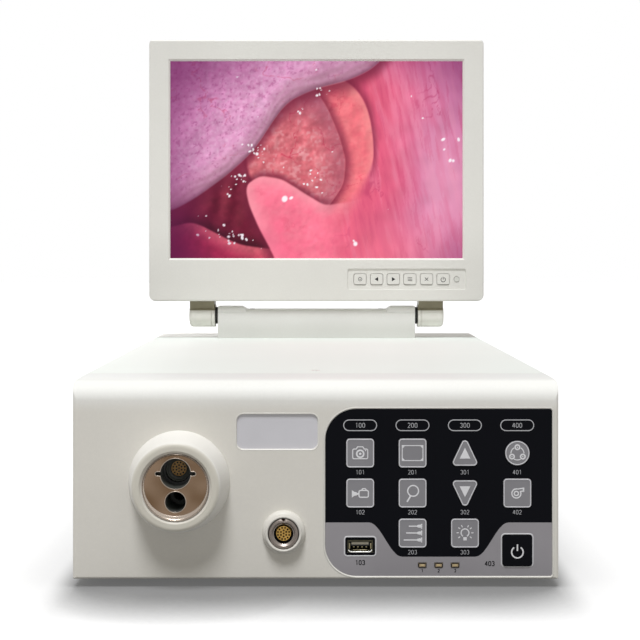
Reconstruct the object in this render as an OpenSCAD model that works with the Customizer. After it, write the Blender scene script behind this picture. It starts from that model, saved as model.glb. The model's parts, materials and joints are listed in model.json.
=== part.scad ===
/* [Case] */
// Width of the case across the front
body_w = 280; // [270:1:320]
// Depth of the case from the front face to the rear edge
body_d = 350; // [330:1:400]
// Height of the case without its feet
body_h = 115; // [110:1:140]
// Thickness of the sheet-metal cover and tray
sheet_t = 1.5; // [1.4:0.1:2]
// Radius of the case's long upper edges
case_corner_r = 3; // [2.5:0.1:4]
// Height of a rubber foot
foot_h = 5; // [3:0.5:12]
// Radius of a rubber foot
foot_r = 9; // [6:0.5:12]
// Distance from the case's outer edges to a foot's centre
foot_inset = 25; // [20:1:40]
// Height of the tray's side flanges
tray_flange_h = 16; // [14:1:24]

/* [Front bezel] */
// Depth of the moulded front bezel
bezel_d = 30; // [26:1:36]
// Wall of the front bezel
bezel_wall = 3; // [2.6:0.1:4]
// Radius where the front face turns into the top
brow_r = 11; // [8:0.5:14]
// Fall of the bezel's top from its seam to the start of the front radius
brow_drop = 1; // [0.5:0.1:2]
// Radius of the bezel's upright front edges
bezel_edge_r = 2.5; // [1.5:0.1:4]
// Width of the bare plate in its recess
plate_w = 47; // [35:1:52]
// Height of the bare plate
plate_h = 20.4; // [15:0.2:24]
// Corner radius of the bare plate
plate_r = 4; // [2:0.5:6]
// Thickness of the bare plate
plate_t = 0.8; // [0.5:0.1:1.2]
// Depth of the plate's face below the front face
plate_recess = 1; // [0.3:0.1:1.2]
// Height of the plate's centre below the top of the case
plate_top_gap = 30.2; // [24:0.2:36]
// Distance from the keypad's left edge to the plate's centre
plate_keypad_gap = 27.1; // [25:0.1:32]

/* [Rear] */
// Depth of the moulded rear frame
rear_frame_d = 42.5; // [36:0.5:50]
// Wall of the rear frame
frame_wall = 2.5; // [2.2:0.1:3.5]
// Width of the dark groove between the cover and the rear frame
rear_gap = 1.5; // [0.5:0.1:2.5]
// Depth of the rear panel's face inside the frame's rear edge
panel_inset = 4; // [2:0.5:6]
// Thickness of the rear panel
panel_t = 2; // [1.5:0.1:3]
// Outer size of the square cooling fan
fan_w = 60; // [50:1:64]
// Depth of the cooling fan
fan_d = 20; // [15:1:25]
// Height of the fan's centre above the underside of the case
fan_up = 57.5; // [50:0.5:62]
// Distance from the case's right side to the fan's centre
fan_side = 62; // [50:1:80]

/* [Scope socket] */
// Distance from the case's left side to the socket's centre
scope_side = 61.5; // [55:0.5:66]
// Height of the socket's centre above the underside of the case
scope_up = 56.3; // [50:0.1:60]
// How far the collar stands out of the front face
scope_collar_d = 17; // [10:0.5:22]
// Radius of the collar at the front face
scope_base_r = 29.3; // [28:0.1:31]
// Radius of the collar at its lip
scope_lip_r = 25.6; // [24:0.1:27]
// Radius of the steel connector block's face
scope_block_r = 18.7; // [18:0.1:19.5]
// Depth of the steel face inside the collar's lip
scope_recess = 1.5; // [0.5:0.1:3]
// Radius of the bore for the scope's plug
plug_bore_r = 8.5; // [7.5:0.1:8.8]
// Radius of the bore for the scope's light guide
guide_bore_r = 5.75; // [4.5:0.05:6]
// Radius of the light channel behind the guide bore
light_r = 3.5; // [2:0.1:4]
// Distance between the centres of the two bores
bore_pitch = 15.8; // [15:0.1:17]
// Height of the key slots beside the plug bore
key_slot_h = 2.1; // [1.5:0.1:3]
// Distance between the tips of the key slots
key_slot_w = 22.6; // [20:0.1:24]
// Depth of the plug bore's steel stretch
plug_bore_l = 10.5; // [8:0.5:13]

/* [Camera socket] */
// Distance from the keypad's left edge to the camera socket's centre
camera_keypad_gap = 23.3; // [20:0.1:25]
// Height of the camera socket's centre above the underside of the case
camera_up = 27.4; // [22:0.1:32]
// Radius of the moulded collar round the camera socket
camera_collar_r = 12.4; // [11.5:0.1:13.5]
// How far the moulded collar stands out
camera_collar_d = 4; // [3:0.1:5]
// Radius of the socket's metal ring
camera_ring_r = 8.75; // [8:0.05:9.2]
// How far the metal ring stands out
camera_ring_d = 4.8; // [4:0.1:6]
// Radius of the socket's bore
camera_bore_r = 5.65; // [5:0.05:6]
// Radius of the contact insert's face
camera_insert_r = 4.3; // [4:0.05:4.6]
// Depth of the contact insert inside the ring
camera_insert_d = 5.5; // [3:0.1:8]

/* [Keypad] */
// Distance from the case's centre line to the keypad's left edge
keypad_centre_gap = 5; // [2:0.5:8]
// Distance from the keypad's right edge to the case's side
keypad_side_gap = 3.5; // [3:0.1:6]
// Distance from the keypad's top to the top of the case
keypad_top_gap = 16.5; // [14:0.5:20]
// Distance from the keypad's lower edge to the underside of the case
keypad_low_gap = 1.3; // [1:0.1:4]
// Corner radius at the keypad's left side
keypad_left_r = 18.5; // [8:0.5:20]
// Corner radius at the keypad's right side
keypad_right_r = 2; // [1:0.1:4]
// Thickness of the keypad's printed sheets
film_t = 0.8; // [0.5:0.1:1]
// Depth of the sheets below the front face
film_recess = 0.3; // [0.1:0.1:0.5]
// Distance from the keypad's left and right edges to the outer key columns
column_edge_gap = 20.6; // [19:0.1:24]
// Distance from the keypad's top to the first key row
row_top_gap = 25.9; // [24:0.1:28]
// Distance from the keypad's lower edge to the third key row
row_low_gap = 25.3; // [24:0.1:28]
// Width of the strip between two key columns
key_gap_w = 14.1; // [12:0.1:16]
// Height of the strip between two key rows
key_gap_h = 6.4; // [5:0.1:8]
// Corner radius of a square key
key_r = 2; // [1:0.1:3]
// How far a key stands out of the sheet
key_proud = 0.6; // [0.3:0.1:1]
// Travel of a front key
key_travel = 0.5; // [0.3:0.1:0.6]
// Width of the power key
power_w = 17; // [14:0.1:18]
// Height of the power key
power_h = 18; // [15:0.1:19]
// Height of the power key's centre above the keypad's lower edge
power_up = 15.3; // [13:0.1:17]
// Height of the grey band at the keypad's sides
band_side_h = 31.3; // [29:0.1:33]
// Height of the grey band under the middle keys
band_mid_h = 11.6; // [11:0.1:13]
// Width of the black surround of the USB socket
usb_frame_w = 17.2; // [16.5:0.1:19]
// Height of the black surround of the USB socket
usb_frame_h = 10.3; // [9.5:0.1:11]
// Height of the USB socket's centre above the keypad's lower edge
usb_up = 17.6; // [15:0.1:18]
// Width of a status light
led_w = 4.6; // [3:0.1:6]
// Height of a status light
led_h = 2.6; // [2:0.1:3]
// Distance between two status lights
led_pitch = 9.45; // [8:0.05:11]
// Height of the status lights above the keypad's lower edge
led_up = 6.8; // [5:0.1:7.5]

/* [Monitor] */
// Width of the monitor
mon_w = 283; // [275:1:310]
// Height of the monitor
mon_h = 221; // [215:1:222]
// Depth of the monitor
mon_d = 28; // [27:0.5:34]
// Depth of the monitor's front shell
mon_front_d = 12; // [11:0.5:13]
// Wall of the monitor's shells
mon_wall = 2.5; // [2.2:0.1:3]
// Upper corner radius of the monitor
mon_top_r = 4.2; // [3:0.1:6]
// Lower corner radius of the monitor
mon_low_r = 5.9; // [4:0.1:8]
// Distance from the monitor's side to the screen opening
screen_side_gap = 17.8; // [16:0.1:26]
// Height of the screen opening
screen_h = 166.9; // [150:0.1:168]
// Distance from the monitor's top to the screen opening
screen_top_gap = 17.8; // [16:0.1:20]
// Width of the button strip's recess
strip_w = 99.9; // [96:0.1:106]
// Height of the button strip's recess
strip_h = 17.5; // [15:0.1:18]
// Height of the button strip's centre above the monitor's lower edge
strip_up = 18.6; // [17:0.1:20]
// Distance from the monitor's right side to the button strip's recess
strip_side = 15.2; // [13:0.1:20]
// Depth of the button strip's recess
strip_recess = 0.8; // [0.4:0.1:1]
// Width of a monitor button
button_w = 10.3; // [8:0.1:11.5]
// Height of a monitor button
button_h = 8.9; // [7:0.1:10]
// Distance between two monitor buttons
button_pitch = 14.05; // [13.5:0.05:14.5]
// Travel of a monitor button
button_travel = 0.5; // [0.3:0.1:0.6]
// Radius of the monitor's status light
mon_led_r = 2.2; // [1.5:0.1:2.6]

/* [Hinge] */
// Height of the hinge axis above the top of the case
hinge_rise = 18.9; // [17:0.1:24]
// Distance from the hinge axis to the rear edge of the case
hinge_back = 47; // [46:0.5:60]
// Distance from the hinge axis to the monitor's lower edge
mon_lift = 12.9; // [12.6:0.1:16]
// Distance from the hinge axis forward to the monitor's front face
mon_fore = 16; // [15:0.5:17]
// Width of the hinge neck on the case
neck_w = 168; // [140:1:180]
// Depth of the hinge neck
neck_d = 18; // [16:0.5:18.5]
// How far the neck's raised ends rise above the hinge axis
neck_over = 8.1; // [7:0.1:8.3]
// How far the neck's middle lies below its raised ends
neck_step = 2.5; // [1:0.1:3]
// Length of each raised end of the neck
neck_end = 20; // [16:0.5:24]
// Radius of a hinge knuckle
knuckle_r = 9.8; // [8.5:0.1:10]
// Length of a hinge knuckle
knuckle_l = 22; // [18:0.5:26]
// Width of the gap between the neck and a knuckle
knuckle_gap = 2.6; // [2:0.1:4]
// Radius of a hinge pin
pin_r = 4.5; // [3.5:0.1:5]

/* [Hidden] */
// Fits shared by the whole model
overrun = 1;
fit_gap = 0.05;
slip_gap = 0.2;
move_gap = 0.3;
$fn = 64;

// Planes of the case
jack_l = 12;
seam_gap = 0.4;
left_x = -body_w / 2;
right_x = body_w / 2;
base_z = foot_h;
top_z = foot_h + body_h;
front_y = (scope_collar_d - body_d - jack_l + panel_inset) / 2;
back_y = front_y + body_d;
bezel_end_y = front_y + bezel_d;
cover_y = bezel_end_y + seam_gap;
frame_y = back_y - rear_frame_d;
cover_end_y = frame_y - rear_gap;
panel_y = back_y - panel_inset;
panel_in_y = panel_y - panel_t;
wall_back_y = front_y + bezel_wall;

// Lips of the bezel and the rear frame under the cover
lip_t = 1.5;
lip_l = 6;
lip_inset = sheet_t + slip_gap;
inner_corner_r = 1;
foot_edge_r = 1.5;
tab_w = 16;
tab_t = 2;

// Countersunk screws and the places that they hold
screw_head_r = 2.75;
screw_head_h = 1.2;
screw_r = 1.5;
screw_l = 6;
recess_w = 0.7;
recess_l = 3.4;
recess_d = 0.7;
screw_gap = 0.1;
side_screw_z = base_z + tray_flange_h / 2 + sheet_t;
side_screw_inset = 40;
top_screw_gap = 17;
top_screw_y = bezel_end_y + top_screw_gap;
panel_screw_inset = 7;
neck_screw_share = 0.4;

// Cooling slots
slot_w = 3;
slot_l = 30;
slot_pitch = 8;
slot_count = 9;

// Tray and what stands on it
tray_gap = 0.4;
foot_taper_share = 0.9;
standoff_r = 3.5;
standoff_h = 8;
board_t = 1.6;
main_board_w = 116;
main_board_l = 140;
main_board_edge = 8;
board_hole_inset = 5;
main_board_gap = 22;
main_board_x0 = right_x - main_board_edge - main_board_w;
main_board_y1 = panel_in_y - fan_d - main_board_gap;
chip_h = 3;
chip_w = 22;
chip_pitch = 33;
sink_w = 40;
sink_h = 22;
sink_fins = 7;
fin_t = 1.5;
psu_w = 92;
psu_l = 130;
psu_h = 40;
psu_gap = 8;
terminal_h = 12;

// Keypad sheets and keys
keypad_x0 = keypad_centre_gap;
keypad_x1 = right_x - keypad_side_gap;
keypad_z0 = base_z + keypad_low_gap;
keypad_z1 = top_z - keypad_top_gap;
column_pitch = (keypad_x1 - keypad_x0 - 2 * column_edge_gap) / 3;
row_pitch = (keypad_z1 - keypad_z0 - row_top_gap - row_low_gap) / 2;
key_w = column_pitch - key_gap_w;
key_h = row_pitch - key_gap_h;
triangle_inset = 1;
film_y = front_y + film_recess;
key_front_y = film_y - key_proud;
key_skirt_t = 1;
key_skirt_rim = 1;
key_skirt_y = wall_back_y + move_gap;
key_stem_r = 2;
keypad_board_gap = 13;
keypad_board_y = wall_back_y + keypad_board_gap;
switch_w = 6;
switch_d = 3.5;
plunger_r = 1.75;
plunger_l = 1;
boss_r = 3;
board_margin = 3;
band_shoulder = 25.6;
band_foot = 44.7;
band_steps = 12;
usb_x = keypad_x0 + column_edge_gap;
usb_z = keypad_z0 + usb_up;
usb_frame_r = 1;
usb_flare_w = 14.5;
usb_flare_h = 7;
usb_shell_w = 13.1;
usb_shell_h = 5.7;
usb_shell_t = 0.4;
usb_flare_d = 1.2;
usb_tongue_w = 11;
usb_tongue_t = 1.9;
usb_seat_l = 4;
led_z = keypad_z0 + led_up;
power_x = keypad_x1 - column_edge_gap;
power_z = keypad_z0 + power_up;
keys = [
  ["key_photo", 0, 0, "square"],
  ["key_video", 0, 1, "square"],
  ["key_full_screen", 1, 0, "square"],
  ["key_zoom", 1, 1, "square"],
  ["key_endoscope", 1, 2, "square"],
  ["key_bright", 2, 0, "up"],
  ["key_dark", 2, 1, "down"],
  ["key_lamp", 2, 2, "square"],
  ["key_air_flow", 3, 0, "round"],
  ["key_pump", 3, 1, "square"],
];

// Bare plate
plate_x = keypad_x0 - plate_keypad_gap;
plate_z = top_z - plate_top_gap;

// Scope socket
scope_x = left_x + scope_side;
scope_z = base_z + scope_up;
scope_front_y = front_y - scope_collar_d;
scope_face_y = scope_front_y + scope_recess;
scope_spigot_r = 23.8;
scope_flange_r = 22;
scope_flange_d = 9;
scope_lip_round = 3;
scope_block_end_y = wall_back_y + scope_flange_d;
plug_share = 0.48;
plug_z = scope_z + bore_pitch * plug_share;
guide_z = plug_z - bore_pitch;
sleeve_t = 1.3;
plug_step = 0.6;
sleeve_y = scope_face_y + plug_bore_l;
contact_depth = 9;
contact_block_y = sleeve_y + contact_depth;
contact_pin_r = 0.55;
contact_pin_l = 3;
outer_pin_share = 0.72;
inner_pin_share = 0.3;
guide_bore_l = 19.5;
guide_tube_t = 2;
guide_tube_l = 28;

// Camera socket
camera_x = keypad_x0 - camera_keypad_gap;
camera_z = base_z + camera_up;
camera_front_y = front_y - camera_ring_d;
camera_insert_y = camera_front_y + camera_insert_d;
camera_barrel_r = 7;
camera_barrel_l = 22;
camera_nut_r = 11;
camera_nut_t = 3;
contact_hole_r = 0.45;
contact_hole_d = 1.6;
outer_ring_r = 3.35;
inner_ring_r = 1.75;
camera_key_w = 1.4;
camera_ring_edge_r = 0.8;
camera_seat_l = 5;
camera_step = 0.3;

// Lamp, pump and hose
lamp_y = scope_block_end_y + guide_tube_l;
lamp_nose_r = 12;
lamp_nose_l = 20;
lamp_block_w = 56;
lamp_block_l = 60;
lamp_fins = 9;
lamp_core_r = 20;
bracket_w = 40;
bracket_t = 3;
pump_side = 54;
pump_drop = 9;
pump_x = scope_x + pump_side;
pump_z = scope_z - pump_drop;
pump_head_w = 36;
pump_head_gap = 24;
pump_head_y = scope_block_end_y + pump_head_gap;
pump_head_l = 24;
pump_motor_r = 16;
pump_motor_l = 60;
hose_r = 3;
hose_bore_r = 1.8;
hose_bend_r = 12;
hose_side = 15;
hose_x = scope_x + hose_side;

// Rear fittings
fan_x = right_x - fan_side;
fan_z = base_z + fan_up;
fan_corner_r = 4;
fan_bore_r = fan_w / 2 - fan_corner_r / 2;
fan_hole_inset = 5;
fan_hole_r = 2.1;
fan_hub_r = 12;
fan_hub_plate_t = 3;
fan_strut_w = 4;
fan_shaft_r = 1.5;
fan_tip_gap = 0.8;
blade_t = 1.6;
blade_tilt = 38;
blade_count = 7;
guard_wire_r = 0.9;
guard_rings = 4;
guard_pitch = 7;
guard_spoke_rise = 1.1;
guard_eye_r = 3.6;
guard_back_y = panel_y + 2 * guard_wire_r;
fan_screw_head_r = 3;
fan_screw_head_h = 1.6;
fan_screw_l = 18;
inlet_side = 48;
inlet_up = 50;
inlet_x = left_x + inlet_side;
inlet_z = base_z + inlet_up;
inlet_w = 27;
inlet_h = 48;
inlet_body_d = 30;
inlet_flange_rim = 3;
inlet_flange_t = 2.5;
inlet_corner_r = 3;
cavity_w = 24.2;
cavity_h = 16.6;
cavity_d = 17;
cavity_r = 4;
contact_w = 2;
contact_h = 4;
contact_l = 12;
contact_pitch = 7;
contact_rise = 2;
inlet_rim = 3;
drawer_w = 21;
drawer_h = 8;
drawer_l = 22;
drawer_face_t = 1.6;
fuse_r = 2.6;
fuse_l = 16;
finger_w = 8;
finger_t = 1;
rocker_w = 19;
rocker_h = 12;
rocker_d = 9;
rocker_tilt = 8;
rocker_dip = 1.2;
rocker_pivot_r = 1.5;
rocker_pivot_l = 1;
rocker_pivot_depth = 2;
jack_side = 110;
jack_up = 80;
jack_x = left_x + jack_side;
jack_z = base_z + jack_up;
jack_pitch = 24;
jack_hex_r = 7;
jack_hex_t = 2.5;
jack_barrel_r = 4.8;
jack_bore_r = 3.9;
jack_core_r = 2.3;
jack_pin_r = 0.7;
jack_bore_d = 8;
jack_lug_r = 0.9;
jack_lug_inset = 3.5;
jack_thread_l = 10;
port_x = jack_x + jack_pitch / 2;
port_up = 50;
port_z = base_z + port_up;
port_plate_w = 31;
port_plate_h = 12.5;
port_plate_t = 1;
port_shell_w = 17;
port_shell_h = 8.4;
port_shell_l = 6;
port_shell_r = 2;
port_hole_r = 0.55;
port_hole_d = 3;
port_hole_pitch = 2.3;
port_post_r = 2.6;
port_post_l = 5;
port_post_pitch = 25;
port_body_d = 8;

// Monitor
hinge_y = back_y - hinge_back;
hinge_z = top_z + hinge_rise;
mon_y = hinge_y - mon_fore;
mon_split_y = mon_y + mon_front_d;
mon_back_y = mon_y + mon_d;
mon_z = hinge_z + mon_lift;
mon_top_z = mon_z + mon_h;
mon_x = mon_w / 2;
mon_edge_r = 1.5;
mon_back_r = 5;
screen_x = mon_x - screen_side_gap;
screen_z1 = mon_top_z - screen_top_gap;
screen_z0 = screen_z1 - screen_h;
screen_bevel = 1.4;
lcd_rim = 4;
lcd_rim_h = 4;
lcd_t = 7;
lcd_y = mon_y + mon_wall;
strip_x1 = mon_x - strip_side;
strip_x0 = strip_x1 - strip_w;
strip_z = mon_z + strip_up;
strip_r = 2;
button_count = 6;
button_r = 1.5;
button_first = 10.5;
button_front_y = mon_y + strip_recess / 4;
button_skirt_t = 0.8;
button_skirt_rim = 0.8;
button_skirt_y = lcd_y + move_gap;
button_stem_r = 1.5;
button_switch_d = 2;
button_plunger_l = 0.6;
strip_board_t = 1.2;
strip_board_gap = 5.5;
strip_board_y = lcd_y + strip_board_gap;
strip_boss_r = 1.5;
strip_switch_w = 4;
mon_led_gap = 7.7;
mon_led_x = strip_x1 - mon_led_gap;
mon_led_y = mon_y + strip_recess / 2;
mon_board_w = 150;
mon_board_h = 95;
mon_boss_l = 4;
mon_board_y = mon_back_y - mon_wall - mon_boss_l - board_t;
mon_chip_w = 16;
mon_chip_pitch = 32;
mon_chip_h = 2.2;
vent_l = 26;
vent_w = 2.6;
vent_pitch = 6.2;
vent_count = 15;
vent_top_gap = 42;

// Hinge
neck_x = neck_w / 2;
neck_y0 = hinge_y - neck_d / 2;
neck_top_z = hinge_z + neck_over;
neck_round = 4;
neck_ramp = 4;
neck_wall = 3;
neck_solid = 29;
pin_seat = 24;
knuckle_x = neck_x + knuckle_gap;
knuckle_round = 3;
knuckle_ring = 2.6;
knuckle_ring_w = 0.5;
knuckle_cap = 3.6;
stem_d = 14;
stem_inset = 0.6;
tongue_t = 5;
tongue_h = 24;
tongue_inset = 2;
washer_r = 7.2;

// Places that several pieces share
function column_x(column) = keypad_x0 + column_edge_gap + column * column_pitch;
function row_z(row) = keypad_z1 - row_top_gap - row * row_pitch;
function led_x(i) = (keypad_x0 + keypad_x1) / 2 + (i - 1) * led_pitch;
function button_x(i) = strip_x0 + button_first + i * button_pitch;
function ease(t) = (1 - cos(180 * t)) / 2;
function outward(a, b) = let (d = b - a) [d[1], -d[0]] / norm(d);

// A shape in the front view (across, up), carried to the rear from y
module from_front(y, depth) {
  translate([0, y + depth, 0])
    rotate([90, 0, 0])
      linear_extrude(height = depth)
        children();
}

// A shape in the side view (depth, up), carried across from x
module from_side(x, width) {
  translate([x, 0, 0])
    rotate([90, 0, 90])
      linear_extrude(height = width)
        children();
}

// A shape in the top view (across, depth), carried up from z
module from_top(z, height) {
  translate([0, 0, z])
    linear_extrude(height = height)
      children();
}

// A box between two planes each way, given in either order
module block(x0, x1, y0, y1, z0, z1) {
  translate([min(x0, x1), min(y0, y1), min(z0, z1)])
    cube([abs(x1 - x0), abs(y1 - y0), abs(z1 - z0)]);
}

module rod_x(x, y, z, length, r) {
  translate([x, y, z])
    rotate([0, 90, 0])
      cylinder(h = length, r = r);
}

module rod_y(x, y, z, length, r) {
  translate([x, y, z])
    rotate([-90, 0, 0])
      cylinder(h = length, r = r);
}

module rod_z(x, y, z, length, r) {
  translate([x, y, z])
    cylinder(h = length, r = r);
}

// A profile (radius, depth) turned about a line that runs to the rear
module turned_y(x, y, z) {
  translate([x, y, z])
    rotate([-90, 0, 0])
      rotate_extrude()
        children();
}

// What rounding takes off one corner of a rectangle
module corner_cut(x, y, to_x, to_y, r) {
  if (r > 0)
    difference() {
      translate([x + to_x * (r - overrun) / 2, y + to_y * (r - overrun) / 2])
        square(r + overrun, center = true);
      translate([x + to_x * r, y + to_y * r])
        circle(r);
    }
}

// A rectangle with its own radius at each corner: lower left, lower right, upper right, upper left
module corner_rect(x0, x1, y0, y1, r_ll, r_lr, r_ur, r_ul) {
  difference() {
    translate([x0, y0])
      square([x1 - x0, y1 - y0]);
    corner_cut(x0, y0, 1, 1, r_ll);
    corner_cut(x1, y0, -1, 1, r_lr);
    corner_cut(x1, y1, -1, -1, r_ur);
    corner_cut(x0, y1, 1, -1, r_ul);
  }
}

// A rectangle round a centre with one corner radius
module centred_rect(x, y, w, h, r) {
  corner_rect(x - w / 2, x + w / 2, y - h / 2, y + h / 2, r, r, r, r);
}

// Outline of the keypad in the front view
module keypad_view(grow) {
  left_r = keypad_left_r + grow;
  right_r = keypad_right_r + grow;
  corner_rect(
    keypad_x0 - grow, keypad_x1 + grow, keypad_z0 - grow, keypad_z1 + grow,
    left_r, right_r, right_r, left_r
  );
}

// Everything under the line where the black sheet meets the grey band
module band_region() {
  rise = band_side_h - band_mid_h;
  ramp = band_foot - band_shoulder;
  low_z = keypad_z0 - overrun;
  left_ramp = [
    for (i = [0:band_steps])
      let (t = i / band_steps)
      [
        keypad_x0 + band_shoulder + ramp * t,
        keypad_z0 + band_side_h - rise * ease(t)
      ]
  ];
  right_ramp = [
    for (i = [0:band_steps])
      let (p = left_ramp[band_steps - i])
      [keypad_x0 + keypad_x1 - p[0], p[1]]
  ];
  side_z = keypad_z0 + band_side_h;
  polygon(concat(
    [[keypad_x0 - overrun, low_z], [keypad_x0 - overrun, side_z]],
    left_ramp,
    right_ramp,
    [[keypad_x1 + overrun, side_z], [keypad_x1 + overrun, low_z]]
  ));
}

// A triangle with rounded corners, pointing up (1) or down (-1)
module triangle_view(up, grow) {
  w = key_w / 2 - triangle_inset - key_r;
  h = key_h / 2 - triangle_inset - key_r;
  r = key_r + grow;
  centres = [[-w, -up * h], [w, -up * h], [0, up * h]];
  polygon([
    for (i = [0:2])
      let (a = centres[i], b = centres[(i + 1) % 3], n = up * outward(a, b))
      each [a + n * r, b + n * r]
  ]);
  for (c = centres)
    translate(c)
      circle(r);
}

// Outline of a front key about its own centre
module key_view(kind, grow) {
  if (kind == "square")
    centred_rect(0, 0, key_w + 2 * grow, key_h + 2 * grow, key_r + grow);
  if (kind == "power")
    centred_rect(0, 0, power_w + 2 * grow, power_h + 2 * grow, key_r + grow);
  if (kind == "round")
    circle(key_w / 2 - triangle_inset + grow);
  if (kind == "up")
    triangle_view(1, grow);
  if (kind == "down")
    triangle_view(-1, grow);
}

// All key outlines at their places
module all_key_views(grow) {
  for (k = keys)
    translate([column_x(k[1]), row_z(k[2])])
      key_view(k[3], grow);
  translate([power_x, power_z])
    key_view("power", grow);
}

module led_views(grow) {
  for (i = [0:2])
    centred_rect(led_x(i), led_z, led_w + 2 * grow, led_h + 2 * grow, 0);
}

module plate_view(grow) {
  centred_rect(plate_x, plate_z, plate_w + 2 * grow, plate_h + 2 * grow, plate_r + grow);
}

// Ring that reaches under the cover from the bezel or the rear frame
module cover_lip(y, depth) {
  r0 = max(case_corner_r - lip_inset, inner_corner_r);
  inner = lip_inset + lip_t;
  from_front(y, depth)
    difference() {
      corner_rect(
        left_x + lip_inset, right_x - lip_inset, base_z + lip_inset, top_z - lip_inset,
        0, 0, r0, r0
      );
      corner_rect(
        left_x + inner, right_x - inner, base_z + inner, top_z - inner,
        0, 0, 0, 0
      );
    }
}

// Countersunk screw, its head's top at zero and its shank down
module countersunk_body(length, grow) {
  translate([0, 0, -screw_head_h - grow])
    cylinder(h = screw_head_h + grow, r1 = screw_r + grow, r2 = screw_head_r + grow);
  translate([0, 0, -length])
    cylinder(h = length - screw_head_h, r = screw_r + grow);
}

module countersunk_screw() {
  translate([0, 0, -screw_gap])
    difference() {
      countersunk_body(screw_l, 0);
      for (a = [0, 90])
        rotate([0, 0, a])
          translate([-recess_l / 2, -recess_w / 2, -recess_d])
            cube([recess_l, recess_w, recess_d + overrun]);
    }
}

// The countersunk hole that such a screw drops into
module screw_seat() {
  countersunk_body(screw_l + overrun, screw_gap);
  cylinder(h = overrun, r = screw_head_r + screw_gap);
}

module at_side_screws() {
  ys = [cover_y + side_screw_inset, (cover_y + cover_end_y) / 2, cover_end_y - side_screw_inset];
  for (side = [-1, 1])
    for (y = ys)
      translate([side * body_w / 2, y, side_screw_z])
        rotate([0, side * 90, 0])
          children();
}

module at_top_screw() {
  translate([0, top_screw_y, top_z])
    children();
}

module at_panel_screws() {
  for (x = [left_x + frame_wall + panel_screw_inset, right_x - frame_wall - panel_screw_inset])
    for (z = [base_z + frame_wall + panel_screw_inset, top_z - frame_wall - panel_screw_inset])
      translate([x, panel_y, z])
        rotate([-90, 0, 0])
          children();
}

module at_neck_screws() {
  for (side = [-1, 1])
    translate([side * (neck_x - neck_solid / 2), neck_y0 + neck_d * neck_screw_share, top_z - sheet_t])
      rotate([180, 0, 0])
        children();
}

// Side view of the bezel: flat face, rounded brow and a top that falls to the front
module bezel_side_view() {
  brow_y = front_y + brow_r;
  brow_z = top_z - brow_drop;
  foot_y = front_y + foot_edge_r;
  foot_z = base_z + foot_edge_r;
  polygon([
    [front_y, foot_z], [foot_y, foot_z], [foot_y, base_z],
    [bezel_end_y + overrun, base_z], [bezel_end_y + overrun, top_z], [bezel_end_y, top_z],
    [brow_y, brow_z], [brow_y, brow_z - brow_r], [front_y, brow_z - brow_r]
  ]);
  translate([brow_y, brow_z - brow_r])
    circle(brow_r);
  translate([foot_y, foot_z])
    circle(foot_edge_r);
}

module bezel_body() {
  intersection() {
    from_side(left_x - overrun, body_w + 2 * overrun)
      bezel_side_view();
    from_front(front_y - overrun, bezel_d + overrun)
      corner_rect(
        left_x, right_x, base_z, top_z,
        foot_edge_r, foot_edge_r, case_corner_r, case_corner_r
      );
    from_top(base_z - overrun, body_h + 2 * overrun)
      corner_rect(
        left_x, right_x, front_y, bezel_end_y + overrun,
        bezel_edge_r, bezel_edge_r, 0, 0
      );
  }
}

module at_keypad_bosses() {
  for (column = [0.5, 2.5])
    for (row = [0, 2])
      translate([column_x(column), 0, row_z(row)])
        children();
}

module front_bezel() {
  color([0.87, 0.87, 0.85])
  difference() {
    union() {
      difference() {
        bezel_body();
        from_side(left_x + bezel_wall, body_w - 2 * bezel_wall)
          corner_rect(
            wall_back_y, bezel_end_y + overrun,
            base_z + bezel_wall, top_z - brow_drop - bezel_wall,
            0, 0, 0, brow_r - bezel_wall
          );
      }
      cover_lip(bezel_end_y - lip_l, 2 * lip_l);
      block(
        -tab_w / 2, tab_w / 2, bezel_end_y - lip_l, top_screw_y + tab_w / 2,
        top_z - lip_inset - tab_t, top_z - lip_inset
      );
      at_keypad_bosses()
        rod_y(0, wall_back_y - slip_gap, 0, keypad_board_gap + slip_gap, boss_r);
    }
    rod_y(scope_x, front_y - overrun, scope_z, bezel_wall + 2 * overrun, scope_spigot_r + slip_gap);
    rod_y(camera_x, front_y - overrun, camera_z, bezel_wall + 2 * overrun, camera_barrel_r + slip_gap);
    from_front(front_y - overrun, overrun + plate_recess + plate_t)
      plate_view(slip_gap);
    from_front(front_y - overrun, overrun + film_recess + film_t)
      keypad_view(slip_gap);
    from_front(front_y, bezel_wall + overrun) {
      all_key_views(move_gap);
      led_views(slip_gap);
      centred_rect(usb_x, usb_z, usb_flare_w + 2 * slip_gap, usb_flare_h + 2 * slip_gap, 0);
    }
    at_top_screw()
      screw_seat();
  }
}

module top_cover() {
  inner_r = max(case_corner_r - sheet_t, inner_corner_r);
  color([0.92, 0.92, 0.90])
  difference() {
    from_front(cover_y, cover_end_y - cover_y)
      corner_rect(left_x, right_x, base_z, top_z, 0, 0, case_corner_r, case_corner_r);
    from_front(cover_y - overrun, cover_end_y - cover_y + 2 * overrun)
      corner_rect(
        left_x + sheet_t, right_x - sheet_t, base_z - overrun, top_z - sheet_t,
        0, 0, inner_r, inner_r
      );
    from_side(left_x - overrun, body_w + 2 * overrun)
      for (i = [0:slot_count - 1])
        centred_rect(
          cover_end_y - side_screw_inset - i * slot_pitch, (base_z + top_z) / 2,
          slot_w, slot_l, slot_w / 2
        );
    at_side_screws()
      screw_seat();
    at_top_screw()
      screw_seat();
    at_neck_screws()
      screw_seat();
  }
}

module tray_flange(side) {
  outer = body_w / 2 - lip_inset;
  block(
    side * (outer - sheet_t), side * outer,
    bezel_end_y + lip_l + tray_gap, frame_y - lip_l - tray_gap,
    base_z, base_z + tray_flange_h
  );
}

module at_standoffs() {
  for (x = [main_board_x0 + board_hole_inset, main_board_x0 + main_board_w - board_hole_inset])
    for (y = [main_board_y1 - main_board_l + board_hole_inset, main_board_y1 - board_hole_inset])
      translate([x, y, 0])
        children();
}

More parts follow.
